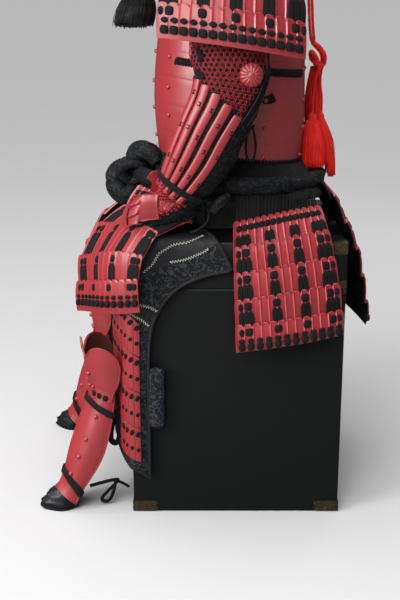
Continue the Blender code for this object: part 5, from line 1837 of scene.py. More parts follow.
        def relief(r, c):
            down, share = r / (rows - 1), c / (columns - 1)
            fold = (down * 3 + share * 0.9 + 0.45) % 1.0
            knuckle = 0.0085 * fold * soft_step(0.24, 0.34, share) * (1 - soft_step(0.56, 0.62, share))
            knuckle *= 1 - soft_step(0.92, 1.0, fold)
            groove = -0.0018 * math.exp(-((share - 0.23) / 0.022) ** 2)
            step = 0.0018 * soft_step(0.57, 0.63, share)
            rim = 0.0012 * (1 - soft_step(0.0, 0.04, min(down, 1 - down, share, 1 - share)))
            return LAME * 0.6 + knuckle + groove + step + rim
        shape.slab(moved_out(base, relief), base, inner_kind=1)
        build_pair("hand_plate", shape, ["Red lacquer", "Black leather"], "red_lacquer",
                   "hand_guard", sharp=60)
        laces = Shape()
        top = moved_out(base, lambda r, c: LAME * 0.6)
        for r in range(1, rows - 1, 2):
            place = top[r][round(0.23 * (columns - 1))]
            right = (top[r][11] - top[r][7]).normalized()
            up = (top[r - 1][9] - top[r + 1][9]).normalized()
            laces.pillow(place, right, up, right.cross(up).normalized(), 0.0021, 0.0015, 0.0018, 2.4, 8)
        build_pair("hand_lacing", laces, ["Black cord"], "black_lacing")
        shape = Shape()
        middle = sum((Vector((0, *p)) for p in THUMB_PLATE), Vector()) / len(THUMB_PLATE)
        rings = []
        for x, size in ((0.2346, 0.97), (0.2350, 1.0), (0.2364, 1.0), (0.2370, 0.95)):
            ring = []
            for y, z in THUMB_PLATE:
                here = Vector((0, middle.y + (y - middle.y) * size, middle.z + (z - middle.z) * size))
                bend = 3.2 * (y - middle.y) ** 2 * -10
                ring.append(Vector((x + bend, here.y, here.z)))
            rings.append(ring)
        shape.loft(rings)
        build_pair("thumb_plate", shape, ["Red lacquer"], "red_lacquer")
        lines = [through(line, 29) for line in HAND_CLOTH]
        outer = []
        columns = [through([line[c] for line in lines], 13) for c in range(29)]
        for r in range(13):
            outer.append([columns[c][r] + Vector((1, -0.2, -0.4)) * 0.0020
                          * waver(c * 0.16, r * 0.22, 7.0) for c in range(29)])
        shape = Shape()
        shape.slab(outer, moved_out(outer, -CLOTH))
        edge_roll(shape, outer[-1], 0.0016, kind=1)
        pair = build_pair("hand_cloth", shape, ["Black brocade", "Dark piping"],
                          "black_brocade", sharp=180)

    def ties(self):
        """The sleeve's two tags, the loop beside the cuirass and the tie at the wrist."""
        tags = Shape()
        for marks in (((2.86, -50), (3.00, -47), (3.15, -44), (3.30, -46), (3.42, -49)),
                      ((3.80, -59), (3.90, -55), (4.00, -50), (4.08, -46), (4.14, -43))):
            path, outs = [], []
            for along, degrees in marks:
                centre, around, down, out = sleeve_frame(along, degrees, 0.0052)
                path.append(centre)
                outs.append(out)
            tags.band(path, outs, lambda t: 0.0026 + 0.0040 * math.sin(math.pi * min(1.0, t * 0.8 + 0.1)),
                      0.0016, sides=8)
        build_pair("sleeve_tags", tags, ["Plain black cloth"], "black_lacing")
        for name, points, radius, lay, end in (("sleeve_loop", SLEEVE_LOOP, 0.0026, "hanging", "knot"),
                                               ("wrist_tie", WRIST_TIE, 0.0022, "loose", "bare")):
            path = through(points, 60)
            shape = Shape()
            shape.tube(path, radius, 8)
            cord_pair(name, shape)


# ---------------------------------------------------------------- thigh guards

# inner edge, over the thigh, at the box's corner, and the outer edge: x, y, z of each
THIGH_CLOTH = [
    ((0.030, -0.108, 0.640), (0.130, -0.088, 0.630), (0.2300, -0.048, 0.6200), (0.2390, -0.012, 0.556)),
    ((0.030, -0.160, 0.636), (0.130, -0.138, 0.630), (0.2300, -0.105, 0.6200), (0.2390, -0.075, 0.542)),
    ((0.030, -0.224, 0.630), (0.130, -0.212, 0.632), (0.2330, -0.188, 0.6240), (0.2390, -0.125, 0.517)),
    ((0.033, -0.256, 0.592), (0.132, -0.249, 0.598), (0.2358, -0.2340, 0.5935), (0.2390, -0.158, 0.480)),
    ((0.038, -0.266, 0.516), (0.146, -0.260, 0.522), (0.2368, -0.232, 0.5100), (0.2390, -0.179, 0.434)),
    ((0.040, -0.270, 0.416), (0.150, -0.262, 0.420), (0.2370, -0.231, 0.4080), (0.2390, -0.187, 0.370)),
    ((0.040, -0.271, 0.312), (0.150, -0.262, 0.316), (0.2370, -0.231, 0.3030), (0.2390, -0.188, 0.280)),
    ((0.040, -0.271, 0.210), (0.150, -0.262, 0.214), (0.2370, -0.231, 0.2000), (0.2390, -0.188, 0.180)),
    ((0.040, -0.270, 0.124), (0.150, -0.261, 0.128), (0.2370, -0.230, 0.1120), (0.2390, -0.188, 0.086))]
THIGH_DOWN, THIGH_ACROSS = 180, 96
PLATE_EDGES = (0.035, 0.153, 0.264, 0.372, 0.468, 0.558, 0.635, 0.698, 0.779, 0.862)
PLATE_TIERS = (0.552, 0.655, 0.755, 0.855, 0.962)
PLATES_LIFT = 0.0021
# down: where the plain lap gives way to brocade, as a share across
LAP_EDGE = [(0.0, 0.70), (0.05, 0.767), (0.083, 0.800), (0.133, 0.833), (0.175, 0.850), (0.27, 0.862),
            (0.32, 0.868), (0.36, 0.84), (0.40, 0.80), (0.45, 0.35), (0.48, 0.0)]
STITCHES = [[(0.35, 0.833), (0.30, 0.833), (0.267, 0.817), (0.250, 0.800), (0.208, 0.767),
             (0.175, 0.733), (0.117, 0.695), (0.042, 0.617)],
            [(0.217, 0.853), (0.175, 0.850), (0.133, 0.833), (0.083, 0.800), (0.050, 0.767)],
            [(0.500, 0.800), (0.467, 0.883), (0.433, 0.950), (0.417, 0.993)],
            [(0.548, 0.700), (0.542, 0.767), (0.525, 0.867), (0.508, 0.975)]]
# x, distance back and height of the middle of the rolled tab, top to foot
ROLLED_TAB = [(0.2400, -0.1695, 0.3440), (0.2405, -0.1700, 0.3100), (0.2410, -0.1705, 0.2500),
              (0.2405, -0.1710, 0.2070)]


@lru_cache(None)
def thigh_lattice():
    """Points of the thigh guard's outer face on a fine lattice, with their directions out."""
    lines = [through(row, THIGH_ACROSS + 1) for row in THIGH_CLOTH]
    columns = [through([line[c] for line in lines], THIGH_DOWN + 1) for c in range(THIGH_ACROSS + 1)]
    rows = [[columns[c][r] for c in range(THIGH_ACROSS + 1)] for r in range(THIGH_DOWN + 1)]
    outs = [[(q - p).normalized() for p, q in zip(a, b)] for a, b in zip(rows, moved_out(rows, 0.01))]
    return rows, outs


def thigh_at(down, across, lift=0.0):
    """A point over the thigh guard and the way out; both run from 0 to 1."""
    rows, outs = thigh_lattice()
    y, x = min(max(down, 0), 1) * THIGH_DOWN, min(max(across, 0), 1) * THIGH_ACROSS
    r, c = min(int(y), THIGH_DOWN - 1), min(int(x), THIGH_ACROSS - 1)
    y, x = y - r, x - c
    point = rows[r][c].lerp(rows[r][c + 1], x).lerp(rows[r + 1][c].lerp(rows[r + 1][c + 1], x), y)
    out = outs[r][c].lerp(outs[r + 1][c + 1], 0.5).normalized()
    return point + out * lift, out


class ARMOUR_OT_thigh_guards(bpy.types.Operator):
    """The thigh guards: cloth, plates, knots, stitching and piping"""
    bl_idname = "armour.thigh_guards"
    bl_label = "Thigh guards"

    def execute(self, context):
        self.cloth()
        self.plates()
        self.trimmings()
        return {"FINISHED"}

    def cloth(self):
        rows, columns = 130, 66
        outer = []
        for r in range(rows):
            down, line = r / (rows - 1), []
            for c in range(columns):
                across = c / (columns - 1)
                point, out = thigh_at(down, across)
                lap = 1 - soft_step(0.30, 0.46, down)
                plated = soft_step(0.50, 0.56, down) * (1 - soft_step(0.84, 0.88, across))
                folds = 0.0026 * lap * waver(across * 5 + down * 3, down * 7, 0.5)
                folds += 0.0012 * waver(across * 9, down * 30, 3.0) * (1 - plated)
                line.append(point + out * (folds * soft_step(0, 0.04, down)))
            outer.append(line)
        shape = Shape()
        shape.slab(outer, moved_out(outer, -CLOTH), inner_kind=2)
        spans = columns - 1
        for i in range((rows - 1) * spans):
            down, across = (i // spans + 0.5) / (rows - 1), (i % spans + 0.5) / spans
            first = 0.50 - 0.443 * max(0.0, across - 0.80)
            second = 0.548 - 0.16 * max(0.0, across - 0.70)
            if across < table_value(LAP_EDGE, 1, down) or first < down < second:
                shape.kinds[i] = 1
        pair = build_pair("thigh_guard_cloth", shape, ["Blue brocade", "Slate cloth",
                                                       "Plain black cloth"],
                          "black_brocade", "thigh_cloth", sharp=180)

    def plates(self):
        """Long narrow plates in tiers, with an upper and a middle knot on each."""
        plates, knots = Shape(), Shape()
        profile = ((0.02, -0.55), (0.06, 0.35), (0.20, 0.85), (0.50, 1.0), (0.80, 0.85), (0.94, 0.35),
                   (0.98, -0.55))
        for top, foot in zip(PLATE_TIERS, PLATE_TIERS[1:]):
            rows, backs = [], []
            for k, step in enumerate((0.0, 0.012, 0.05, 0.35, 0.65, 0.90, 0.982)):
                line, back = [], []
                for left, right in zip(PLATE_EDGES, PLATE_EDGES[1:]):
                    for share, rise in profile:
                        across = left + (right - left) * share
                        down = top + (foot - top) * step + 0.010 * (0.5 - across)
                        edge = 0.45 if k in (0, 6) else 1.0
                        base = PLATES_LIFT + 0.0016 * step
                        line.append(thigh_at(down, across, base + (0.0018 + 0.0009 * rise) * edge)[0])
                        back.append(thigh_at(down, across, base - 0.0008)[0])
                rows.append(line)
                backs.append(back)
            plates.slab(rows, backs)
            for left, right in zip(PLATE_EDGES, PLATE_EDGES[1:]):
                middle = (left + right) / 2
                wide = (thigh_at(foot, right)[0] - thigh_at(foot, left)[0]).length
                for share, half_x, half_y in ((0.175, min(0.38 * wide, 0.0095), 0.0068),
                                              (0.625, min(0.34 * wide, 0.0080), 0.0052)):
                    down = top + (foot - top) * share + 0.010 * (0.5 - middle)
                    self.oval(knots, down, middle, half_x, half_y, PLATES_LIFT + 0.0024)
            for share, half in ((0.175, 0.0062), (0.625, 0.0050)):
                self.oval(knots, top + (foot - top) * share, PLATE_EDGES[-1] + 0.002, 0.0026, half, 0.0024)
        build_pair("thigh_plate_rows", plates, ["Red lacquer"], "red_lacquer", "thigh_plates",
                   sharp=35)
        build_pair("thigh_plate_knots", knots, ["Black knots"], "black_lacing")

    def oval(self, shape, down, across, half_x, half_y, lift):
        centre, out = thigh_at(down, across, lift)
        right = (thigh_at(down, across + 0.01, lift)[0] - centre).normalized()
        up = out.cross(right).normalized()
        shape.pillow(centre, right, up, out, half_x, half_y, 0.0030, power=2.1, sides=12)

    def trimmings(self):
        """Cream zigzag stitching, the piped edges, the bound hem and the rolled tab."""
        shape = Shape()
        for marks in STITCHES:
            line = through([(d, a, 0) for d, a in marks], 200)
            path, last = [], None
            for mark in line:
                point, out = thigh_at(mark.x, mark.y, 0.0012)
                if last is None or (point - last).length > 0.0026:
                    path.append((point, out))
                    last = point
            zigzag, points = [], [p for p, out in path]
            for i, (point, out) in enumerate(path):
                side = heading(points, i).cross(out).normalized()
                sway, lift = (0.0024, 0.0006) if i % 2 else (-0.0024, 0)
                zigzag.append(point + side * sway + out * lift)
            shape.tube(zigzag, 0.0012, 6)
        build_pair("thigh_guard_stitching", shape, ["Cream stitching"], "black_brocade", sharp=180)
        shape = Shape()
        for across in (1.0, 0.0):
            path = [thigh_at(0.005 + 0.995 * i / 119, across, -0.0008) for i in range(120)]
            shape.band(*zip(*path), 0.0034, 0.0022, sides=8, power=3)
        shape.tube([thigh_at(0.30 + 0.69 * i / 89, 0.958, 0.0006)[0] for i in range(90)], 0.0009, 6)
        top = [thigh_at(0.0, i / 50, -0.0008) for i in range(51)]
        shape.band(*zip(*top), 0.0034, 0.0022, sides=8, power=3)
        hem = [thigh_at(0.993, i / 60, -0.0006) for i in range(61)]
        shape.band(*zip(*hem), 0.0046, 0.0026, sides=8, power=3, kind=1)
        for i in range(46):
            centre, out = thigh_at(0.990, (i + 0.5) / 46, 0.0018)
            right = (thigh_at(0.990, (i + 0.6) / 46, 0.0018)[0] - centre).normalized()
            up = out.cross(right).normalized()
            lean = (up + right * 0.5).normalized()
            shape.tube([centre - lean * 0.0034, centre + out * 0.0006, centre + lean * 0.0034],
                       0.0006, 5, 2)
        build_pair("thigh_guard_edging", shape, ["Dark piping", "Slate cloth",
                                                 "Blue brocade"], "black_brocade", sharp=180)
        route = through(ROLLED_TAB, 46)
        rings, uvs = [], []
        for i, centre in enumerate(route):
            shrink = min(1.0, 0.55 + min(i, 45 - i) / 5)
            ring = []
            for j in range(28):
                x, y = squircle(math.tau * j / 28, 2.6)
                seam = 0.0011 if abs(j - 6) < 1 else 0.0
                swell = 1 + 0.05 * waver(j * 0.5, i * 0.12, 1.0)
                ring.append(centre + Vector((x * (0.0088 - seam) * swell, y * 0.0165 * swell, 0)) * shrink)
                uvs.append((j / 28, i / 10))
            rings.append(ring)
        shape = Shape()
        shape.loft(rings, uvs=uvs)
        for piece in build_pair("rolled_tab", shape, ["Blue brocade"], "black_brocade", sharp=180):
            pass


# ---------------------------------------------------------------- shins, knees and foot covers

LEG_LEFT = Vector((0.176, -0.300, 0.0))
LEG_RIGHT = Vector((-0.230, -0.325, 0.0))
LEG_TURN = math.radians(12)       # the knees point a little outwards
# height, front, rear, half breadth, drop of the rear edge below the front
SHIN = [(0.285, -0.014, 0.028, 0.050, 0.010),
        (0.246, -0.027, 0.024, 0.051, 0.010),
        (0.198, -0.046, 0.014, 0.054, 0.012),
        (0.145, -0.064, -0.002, 0.053, 0.014),
        (0.095, -0.077, -0.029, 0.045, 0.016),
        (0.064, -0.088, -0.050, 0.038, 0.020),
        (0.048, -0.098, -0.062, 0.039, 0.030)]
KNEE = [(0.380, -0.030, 0.039, 0.062, 0.0),
        (0.356, -0.027, 0.040, 0.061, 0.0),
        (0.325, -0.023, 0.037, 0.057, 0.003),
        (0.293, -0.019, 0.033, 0.055, 0.010),
        (0.266, -0.019, 0.031, 0.053, 0.018)]
# degrees round the knee and height of its rim there
KNEE_RIM = [(0, 0.006), (6, 0.002), (12, -0.012), (17, -0.026), (21, -0.031), (27, -0.026), (35, -0.014),
            (45, -0.007), (58, -0.004), (72, -0.008), (84, -0.018), (98, -0.036)]
SHIN_WRAP = math.radians(100)     # how far round the leg each side reaches
KNEE_WRAP = math.radians(98)
# height, toe, heel, half breadth
FOOT = [(0.080, -0.070, -0.038, 0.024),
        (0.060, -0.080, -0.040, 0.027),
        (0.047, -0.100, -0.043, 0.029),
        (0.036, -0.118, -0.046, 0.031),
        (0.014, -0.136, -0.049, 0.033),
        (0.000, -0.133, -0.052, 0.032)]
# share down the shin and degrees round it, on the side seen from outside
SHIN_RIVETS = ((0.23, 57), (0.40, 50), (0.53, 46), (0.68, 40))
KNEE_RIVETS = ((0.48, 23), (0.78, 20), (0.80, 33))
UPPER_TIE = [(0.0520, 0.032, 0.246), (0.0430, 0.035, 0.240), (0.0360, 0.036, 0.222),
             (0.0330, 0.037, 0.195), (0.0310, 0.039, 0.170), (0.0280, 0.032, 0.152),
             (0.0270, 0.021, 0.160), (0.0280, 0.021, 0.178), (0.0300, 0.025, 0.205),
             (0.0350, 0.028, 0.238)]
LOWER_TIES = [[(0.036, -0.030, 0.058), (0.034, -0.005, 0.062), (0.030, 0.020, 0.064),
               (0.024, 0.034, 0.060), (0.018, 0.026, 0.046), (0.017, 0.010, 0.030),
               (0.018, -0.002, 0.016), (0.020, 0.004, 0.009), (0.022, 0.015, 0.013),
               (0.024, 0.024, 0.034), (0.026, 0.028, 0.056)],
              [(0.026, 0.026, 0.058), (0.022, 0.034, 0.056), (0.018, 0.046, 0.048),
               (0.014, 0.060, 0.036)]]


def table_row(table, share):
    """A smooth reading of a whole table; share runs from 0 at its first row to 1 at its last."""
    last = len(table) - 1
    k = min(int(share * last), last - 1)
    t = share * last - k
    rows = [table[min(max(i, 0), last)] for i in (k - 1, k, k + 1, k + 2)]
    return [between(*values, t) for values in zip(*rows)]


def leg_point(row, turn, wrap, ridge):
    height, front, rear, half, drop = row
    share = (1 - math.cos(turn)) / (1 - math.cos(wrap))
    y = front + (rear - front) * share - ridge * max(0.0, 1 - abs(turn) / 0.5)
    return Vector((half * math.sin(turn), y, height - drop * share))


def shin_at(share, turn):
    return leg_point(table_row(SHIN, share), turn, SHIN_WRAP, 0.004)


def knee_at(share, turn):
    """The knee plate's rim has a point in front, then a notch and a lobe on each side."""
    row = table_row(KNEE, share)
    point = leg_point(row, turn, KNEE_WRAP, 0.003)
    rim = table_value(KNEE_RIM, 1, abs(math.degrees(turn)))
    point.z += 0.008 + rim * (row[0] - KNEE[-1][0]) / (KNEE[0][0] - KNEE[-1][0])
    return point


def way_out(surface, share, turn):
    """The direction out of a leg surface."""
    step = 0.01 if share < 0.98 else -0.01
    down = (surface(share + step, turn) - surface(share, turn)) * (1 if step > 0 else -1)
    across = surface(share, turn + 0.02) - surface(share, turn - 0.02)
    return down.cross(across).normalized()


class ARMOUR_OT_legs(bpy.types.Operator):
    """The shin guards, knee plates, their straps and ties, and the foot covers"""
    bl_idname = "armour.legs"
    bl_label = "Shins and feet"

    def execute(self, context):
        for side, place, sign in (("_L", LEG_LEFT, 1), ("_R", LEG_RIGHT, -1)):
            self.stance = Matrix.Translation(place) @ Matrix.Rotation(sign * LEG_TURN, 4, "Z")
            self.sign = sign
            self.shin(side)
            self.knee(side)
            self.straps(side)
            self.foot(side)
        return {"FINISHED"}

    def made(self, name, side, shape, finishes, slot, node="", **settings):
        """The piece in its leg's place; shapes are drawn for the left leg and mirrored for the right."""
        if self.sign < 0:
            shape = shape.mirrored()
        shape.points = [self.stance @ Vector(p) for p in shape.points]
        return build(name + side, shape, finishes, slot, (node + side,) if node else (), **settings)

    def placed_path(self, path):
        return [self.stance @ Vector((self.sign * p[0], p[1], p[2])) for p in path]

    def shin(self, side):
        shape = Shape()
        rows, columns = 34, 45
        outer = []
        for r in range(rows):
            outer.append([shin_at(r / (rows - 1), -SHIN_WRAP + 2 * SHIN_WRAP * c / (columns - 1))
                          for c in range(columns)])
        inner = moved_out(outer, -LAME)
        creased = moved_out(outer, lambda r, c: 0.0022 * max(0.0, 1 - abs(c - 35) / 8) * soft_step(0, 5, r)
                            * soft_step(0, 7, rows - 1 - r))
        shape.slab(creased, inner, inner_kind=1)
        rim = [row[0] for row in outer] + outer[-1][1:-1] + [row[-1] for row in reversed(outer)]
        edge_roll(shape, rim, 0.0019)
        for share, degrees in SHIN_RIVETS:
            for sign in (1, -1):
                turn = math.radians(degrees) * sign
                out = way_out(shin_at, share, turn)
                rivet(shape, shin_at(share, turn) + out * (0.0018 if sign > 0 else 0.0), out, 0.0057)
        self.made("shin_guard", side, shape, ["Red lacquer", "Leather lining"],
                  "red_lacquer", "shin_plate", sharp=28)

    def knee(self, side):
        shape = Shape()
        rows, columns = 26, 61
        base = []
        for r in range(rows):
            share = r / (rows - 1)
            wrap = KNEE_WRAP * (1 - 0.14 * soft_step(0.50, 1.0, share)
                                - 0.05 * (1 - soft_step(0.0, 0.3, share)))
            base.append([knee_at(share, -wrap + 2 * wrap * c / (columns - 1)) for c in range(columns)])

        def relief(r, c):
            share, across = r / (rows - 1), abs(c - 30) / 30
            dome = 0.0022 * math.exp(-((across - 0.55) / 0.30) ** 2 - ((share - 0.45) / 0.35) ** 2)
            band = -0.0016 * math.exp(-((share - 0.82) / 0.035) ** 2)
            return 0.0035 + dome + band
        outer = moved_out(base, relief)
        shape.slab(outer, moved_out(base, 0.0035 - LAME), inner_kind=1)
        rim = ([row[0] for row in reversed(outer)] + outer[0][1:-1] + [row[-1] for row in outer])
        edge_roll(shape, rim, 0.0020)
        edge_roll(shape, outer[-1], 0.0012)
        for share, degrees in KNEE_RIVETS:
            for sign in (1, -1):
                turn = math.radians(degrees) * sign
                out = way_out(knee_at, share, turn)
                rivet(shape, knee_at(share, turn) + out * 0.0052, out, 0.0042 if share > 0.6 else 0.0050)
        self.made("knee_guard", side, shape, ["Red lacquer", "Leather lining"],
                  "red_lacquer", "knee_plate", sharp=45)
        laces = Shape()
        for sign in (1, -1):
            for degrees in (36, 52, 69):
                turn = math.radians(degrees) * sign
                out = way_out(knee_at, 0.93, turn)
                right = (knee_at(0.93, turn + 0.03) - knee_at(0.93, turn)).normalized()
                up = out.cross(right).normalized()
                laces.pillow(knee_at(0.94, turn) + out * 0.0036, right, up, out, 0.0056, 0.0066, 0.0030,
                             power=4.5)
        self.made("knee_lacing", side, laces, ["Black knots"], "black_lacing")

    def strap_path(self, marks, lift):
        """A closed way round the leg: over the shin guard and straight across its open back."""
        path, outs = [], []
        for share, degrees in marks:
            turn = math.radians(degrees)
            out = way_out(shin_at, share, turn)
            path.append(shin_at(share, turn) + out * lift)
            outs.append(out)
        return path, outs

    def straps(self, side):
        shape = Shape()
        count = 41
        for front, rear, half in ((0.125, 0.205, 0.0070), (0.695, 0.850, 0.0086)):
            marks = []
            for i in range(count):
                degrees = -104 + 208 * i / (count - 1)
                marks.append((front + (rear - front) * (abs(degrees) / 104) ** 1.5, degrees))
            path, outs = self.strap_path(marks, 0.0032)
            first, last = path[0], path[-1]
            back = [last.lerp(first, k / 10) + Vector((0, 0.006 * math.sin(math.pi * k / 10), 0))
                    for k in range(1, 10)]
            path += back + [first]
            outs += [Vector((0, 1, 0))] * 9 + [outs[0]]
            shape.band(path, outs, half, 0.0014, sides=8, power=4)
        self.made("shin_straps", side, shape, ["Black webbing"], "black_lacing", sharp=60)
        for number, (points, half) in enumerate([(UPPER_TIE, 0.0066), (LOWER_TIES[0], 0.0044),
                                                 (LOWER_TIES[1], 0.0034)]):
            path = through(points, 70)
            shape = Shape()
            shape.band(path, [Vector((1, 0.25, 0))] * len(path), half, 0.0016, sides=8, power=3)
            piece = self.made("shin_tie_%d" % (number + 1), side, shape, ["Black webbing"],
                              "black_lacing", sharp=180)

    def foot(self, side):
        """A cloth foot cover with creases over the instep, closed underneath."""
        sides = 44

        def ring(row, inset, wrinkle):
            height, toe, heel, half = row
            middle, long_half = (toe + heel) / 2, (heel - toe) / 2 - inset
            points = []
            for i in range(sides):
                turn = math.tau * i / sides
                taper = 1 - 0.34 * max(0.0, -math.sin(turn))
                fold = wrinkle * waver(math.cos(turn) * 2.2, math.sin(turn) * 2.2, height * 60)
                crease = math.sin(height * 420 + math.cos(turn) * 2)
                fold += wrinkle * 0.9 * max(0.0, -math.sin(turn)) * crease
                points.append(Vector(((half - inset + fold) * taper * math.cos(turn),
                                      middle + (long_half + fold) * math.sin(turn), height)))
            return points
        outer = [table_row(FOOT[::-1], i / 24) for i in range(25)]
        rings = [ring(row, 0.0, 0.0030 if i else 0.0) for i, row in enumerate(outer)]
        rings += [ring(row, CLOTH, 0.0030) for row in reversed(outer[2:])]
        rings.append(ring((CLOTH, *FOOT[-1][1:]), CLOTH, 0.0))
        uvs = [(j / sides, r / 6) for r in range(len(rings)) for j in range(sides)]
        shape = Shape()
        shape.loft(rings, uvs=uvs)
        piece = self.made("foot_cloth", side, shape, ["Soft black leather"], "black_brocade",
                          "foot_cover", sharp=180)


# ---------------------------------------------------------------- helmet, neck guard and chin guard

HEAD = Vector((0.0, -0.118, 1.262))      # middle of the helmet's rim
BOWL = (0.112, 0.132, 0.122)             # half breadth, half length, height
SHELL = 0.0025
NECK_TIERS = 3
NECK_WRAP = math.radians(118)


class ARMOUR_OT_helmet(bpy.types.Operator):
    """The helmet bowl, its visor, the laced neck guard and the chin guard with its fringe"""
    bl_idname = "armour.helmet"
    bl_label = "Helmet"

    def execute(self, context):
        self.bowl()
        self.neck()
        self.chin()
        return {"FINISHED"}

    def bowl(self):
        """A ribbed bowl of riveted plates with a rolled rim, and a plain visor."""
        sides, rows = 12 * 8, 22
        outer = []
        for r in range(rows):
            rise = math.radians(80 - 80 * r / (rows - 1))
            line = []
            for c in range(sides):
                turn = math.tau * c / sides
                rib = max(0.0, 1 - (c % 8) / 1.2) + max(0.0, 1 - (8 - c % 8) / 1.2)
                grow = 1 + 0.010 * rib * math.cos(rise) ** 0.4
                line.append(HEAD + Vector((BOWL[0] * grow * math.cos(rise) * math.cos(turn),
                                           BOWL[1] * grow * math.cos(rise) * math.sin(turn),
                                           BOWL[2] * math.sin(rise) - 0.002)))
            outer.append(line)
        shape = Shape()
        shape.slab(outer, moved_out(outer, -SHELL, closed=True), closed=True, inner_kind=1)
        shape.tube(outer[-1] + outer[-1][:2], 0.0022, 6)
        shape.tube(outer[0] + outer[0][:2], 0.0026, 6)
        for c in range(0, sides, 8):
            for r in (6, 11, 16):
                centre = outer[r][(c + 4) % sides]
                rivet(shape, centre, (centre - HEAD).normalized(), 0.0022)
        build("helmet_shell", shape, ["Helmet lacquer", "Leather lining"],
              "black_helmet_lacquer", ("helmet_bowl",), sharp=35)
        outer, inner = [], []
        for r in range(9):
            share, line = r / 8, []
            for c in range(49):
                off = math.radians(-62 + 124 * c / 48)
                turn = off - math.pi / 2
                reach = 1.0 + share * 0.30 * math.cos(off * 1.4) ** 2
                line.append(HEAD + Vector(((BOWL[0] * reach + 0.0035) * math.cos(turn),
                                           (BOWL[1] * reach + 0.0035) * math.sin(turn),
                                           0.006 - 0.018 * share - 0.003 * share * share)))
            outer.append(line)
            inner.append([p - Vector((0, 0, SHELL)) for p in line])
        shape = Shape()
        shape.slab(outer, inner)
        edge_roll(shape, [p - Vector((0, 0, 0.001)) for p in outer[-1]], 0.0020)
        for c in (6, 15, 24, 33, 42):
            rivet(shape, outer[1][c], Vector((0, 0, 1)), 0.0026)
        build("helmet_peak", shape, ["Helmet lacquer"], "black_helmet_lacquer",
              ("helmet_visor",), sharp=35)

    def neck_at(self, share, turn, lift=0.0):
        """A point over the neck guard; share runs down it and turn is the way round the head."""
        flat = Vector((math.cos(turn), math.sin(turn), 0))
        out = (flat * 0.75 + Vector((0, 0, 0.66))).normalized()
        foot = Vector(((BOWL[0] + 0.006 + 0.050 * share) * flat.x,
                       (BOWL[1] + 0.006 + 0.044 * share) * flat.y, -0.004 - 0.053 * share))
        return HEAD + foot + out * lift

    def neck(self):
        rows, laces, scales = Shape(), Shape(), 34
        for tier in range(NECK_TIERS):
            outer, inner = [], []
            for k, step in enumerate((0.0, 0.05, 0.35, 0.70, 0.96)):
                front, back = [], []
                for i in range(scales * 5 + 1):
                    at = i % 5
                    turn = math.pi / 2 - NECK_WRAP + 2 * NECK_WRAP * i / (scales * 5)
                    crown = (0.0, 0.8, 1.0, 0.9, 0.6)[at]
                    ridge = (1.0, 0.5, 0.2, 0.1, 0.0)[at]
                    share = (tier + step) / NECK_TIERS - (0.030 * crown if k < 2 else 0.0)
                    lift = STEP * (1 - step) + (0.0009 * ridge if k else 0.0)
                    front.append(self.neck_at(share, turn, lift + LAME * (0.6 if k == 0 else 1.0)))
                    back.append(self.neck_at(share, turn, lift))
                outer.append(front)
                inner.append(back)
            rows.slab(outer, inner)
            for group in range(9):
                turn = math.pi / 2 - NECK_WRAP * 0.93 + 2 * NECK_WRAP * 0.93 * group / 8
                for off in (-0.030, 0.030):
                    path, outs = [], []
                    for i in range(7):
                        step = 0.10 + (0.93 if tier < NECK_TIERS - 1 else 0.30) * i / 6
                        lift = STEP * (1 - step) + LAME + 0.0012
                        path.append(self.neck_at((tier + step) / NECK_TIERS, turn + off, lift))
                        outs.append((path[-1] - self.neck_at((tier + step) / NECK_TIERS, turn + off, -0.01))
                                    .normalized())
                    laces.band(path, outs, 0.0030, 0.0014, sides=8, power=2.6)
        build("neck_guard_scales", rows, ["Red lacquer"], "red_lacquer", ("neck_guard",))
        build("neck_guard_laces", laces, ["Black knots"], "black_lacing")

    def chin(self):
        """The chin guard, the fringe below it and the cords that tie it to the helmet."""
        columns, rows = 61, 25
        base = []
        for r in range(rows):
            share, line = r / (rows - 1), []
            for c in range(columns):
                turn = math.radians(-90 - 88 + 176 * c / (columns - 1))
                cheek = (1 - abs(math.sin(turn))) * 0.030
                high, low = 1.172 + cheek, 1.112 + cheek * 0.5
                swell = math.sin(math.pi * (0.25 + 0.6 * share)) * 0.012
                line.append(Vector(((0.066 + swell) * math.cos(turn),
                                    -0.150 + (0.080 + swell) * math.sin(turn), high + (low - high) * share)))
            base.append(line)

        def relief(r, c):
            share, across = r / (rows - 1), abs(c - 30) / 30
            fold = math.sin(math.pi * min(1.0, share * 1.5)) * math.cos(across * math.pi * 2.5)
            return 0.0010 + 0.0012 * fold * (1 - across)
        shape = Shape()
        outer = moved_out(base, relief)
        shape.slab(outer, moved_out(base, -LAME), inner_kind=1)
        rim = outer[0][:] + [row[-1] for row in outer] + outer[-1][::-1]
        edge_roll(shape, rim + [row[0] for row in reversed(outer)], 0.0018)
        build("chin_plate", shape, ["Red lacquer", "Leather lining"], "red_lacquer",
              ("chin_guard",), sharp=45)
        hair = Shape()
        levels = ((1.108, -0.205, 0.030, 0.016), (1.085, -0.211, 0.040, 0.026),
                  (1.060, -0.217, 0.046, 0.035), (1.040, -0.221, 0.046, 0.037))
        hair.loft([[Vector((half_x * math.cos(turn), middle + half_y * math.sin(turn), height))
                    for turn in circle(24)] for height, middle, half_x, half_y in levels])
        strands = 420
        for k in range(strands):
            turn, reach = k * GOLDEN, math.sqrt((k + 0.5) / strands)
            spread = 0.92 + 0.16 * waver(k * 0.7, 0.2, 0.4)
            tip = Vector((0.053 * reach * spread * math.cos(turn),
                          -0.221 + 0.0465 * reach * spread * math.sin(turn),
                          1.0305 + 0.010 * waver(k * 1.3, 5.0, 0.0) + 0.004 * reach))
            root = Vector((0.034 * reach * math.cos(turn), -0.205 + 0.020 * reach * math.sin(turn), 1.1100))
            path = []
            for i in range(6):
                t = i / 5
                bow = 0.010 * math.sin(math.pi * t) * reach
                path.append(root.lerp(tip, t) + Vector((bow * math.cos(turn), bow * math.sin(turn), 0)))
            hair.tube(path, 0.00075, 4)
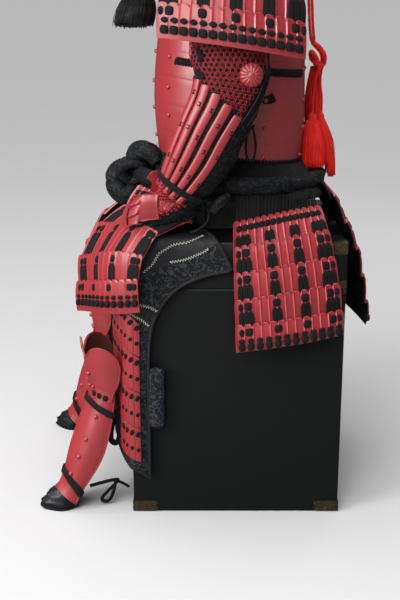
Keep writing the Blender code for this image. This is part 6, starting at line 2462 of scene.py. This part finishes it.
        build("horsehair_fringe", hair, ["Horsehair"], "black_horsehair", ("chin_fringe",), sharp=180)
        for side in (1, -1):
            path = through([(side * 0.070, -0.152, 1.190), (side * 0.086, -0.150, 1.205),
                            (side * 0.098, -0.142, 1.228), (side * 0.104, -0.130, 1.252),
                            (side * 0.1035, -0.120, 1.266)], 40)
            shape = Shape()
            twisted(shape, path, 0.0026, plies=3, share=0.58)
            piece = build("chin_cord_" + ("L" if side > 0 else "R"), shape, ["Black cord"],
                          "black_lacing", sharp=180)


# ---------------------------------------------------------------- sidebar panel and the whole suit

STEPS = (ARMOUR_OT_stage, ARMOUR_OT_back_cord, ARMOUR_OT_storage_box, ARMOUR_OT_stand,
         ARMOUR_OT_cuirass, ARMOUR_OT_shoulder_guards, ARMOUR_OT_skirt, ARMOUR_OT_curtain,
         ARMOUR_OT_sash, ARMOUR_OT_sleeves, ARMOUR_OT_thigh_guards, ARMOUR_OT_legs,
         ARMOUR_OT_helmet)


class ARMOUR_PT_suit(bpy.types.Panel):
    """The suit's settings and a button for each of its pieces"""
    bl_idname = "ARMOUR_PT_suit"
    bl_label = "Samurai armour"
    bl_space_type = "VIEW_3D"
    bl_region_type = "UI"
    bl_category = "Armour"

    def draw(self, context):
        for settings in (context.scene.armour_sizes, context.scene.armour_colours):
            column = self.layout.column(align=True)
            for name in settings.bl_rna.properties.keys():
                if name not in ("rna_type", "name"):
                    column.prop(settings, name)
        for step in STEPS:
            self.layout.operator(step.bl_idname)


def register():
    for kind in (ArmourSizes, ArmourColours, *STEPS, ARMOUR_PT_suit):
        bpy.utils.register_class(kind)
    bpy.types.Scene.armour_sizes = PointerProperty(type=ArmourSizes)
    bpy.types.Scene.armour_colours = PointerProperty(type=ArmourColours)


def unregister():
    del bpy.types.Scene.armour_colours
    del bpy.types.Scene.armour_sizes
    for kind in (ARMOUR_PT_suit, *reversed(STEPS), ArmourColours, ArmourSizes):
        bpy.utils.unregister_class(kind)


def main():
    register()
    for step in STEPS:
        family, name = step.bl_idname.split(".")
        getattr(getattr(bpy.ops, family), name)()


if __name__ == "__main__":
    main()
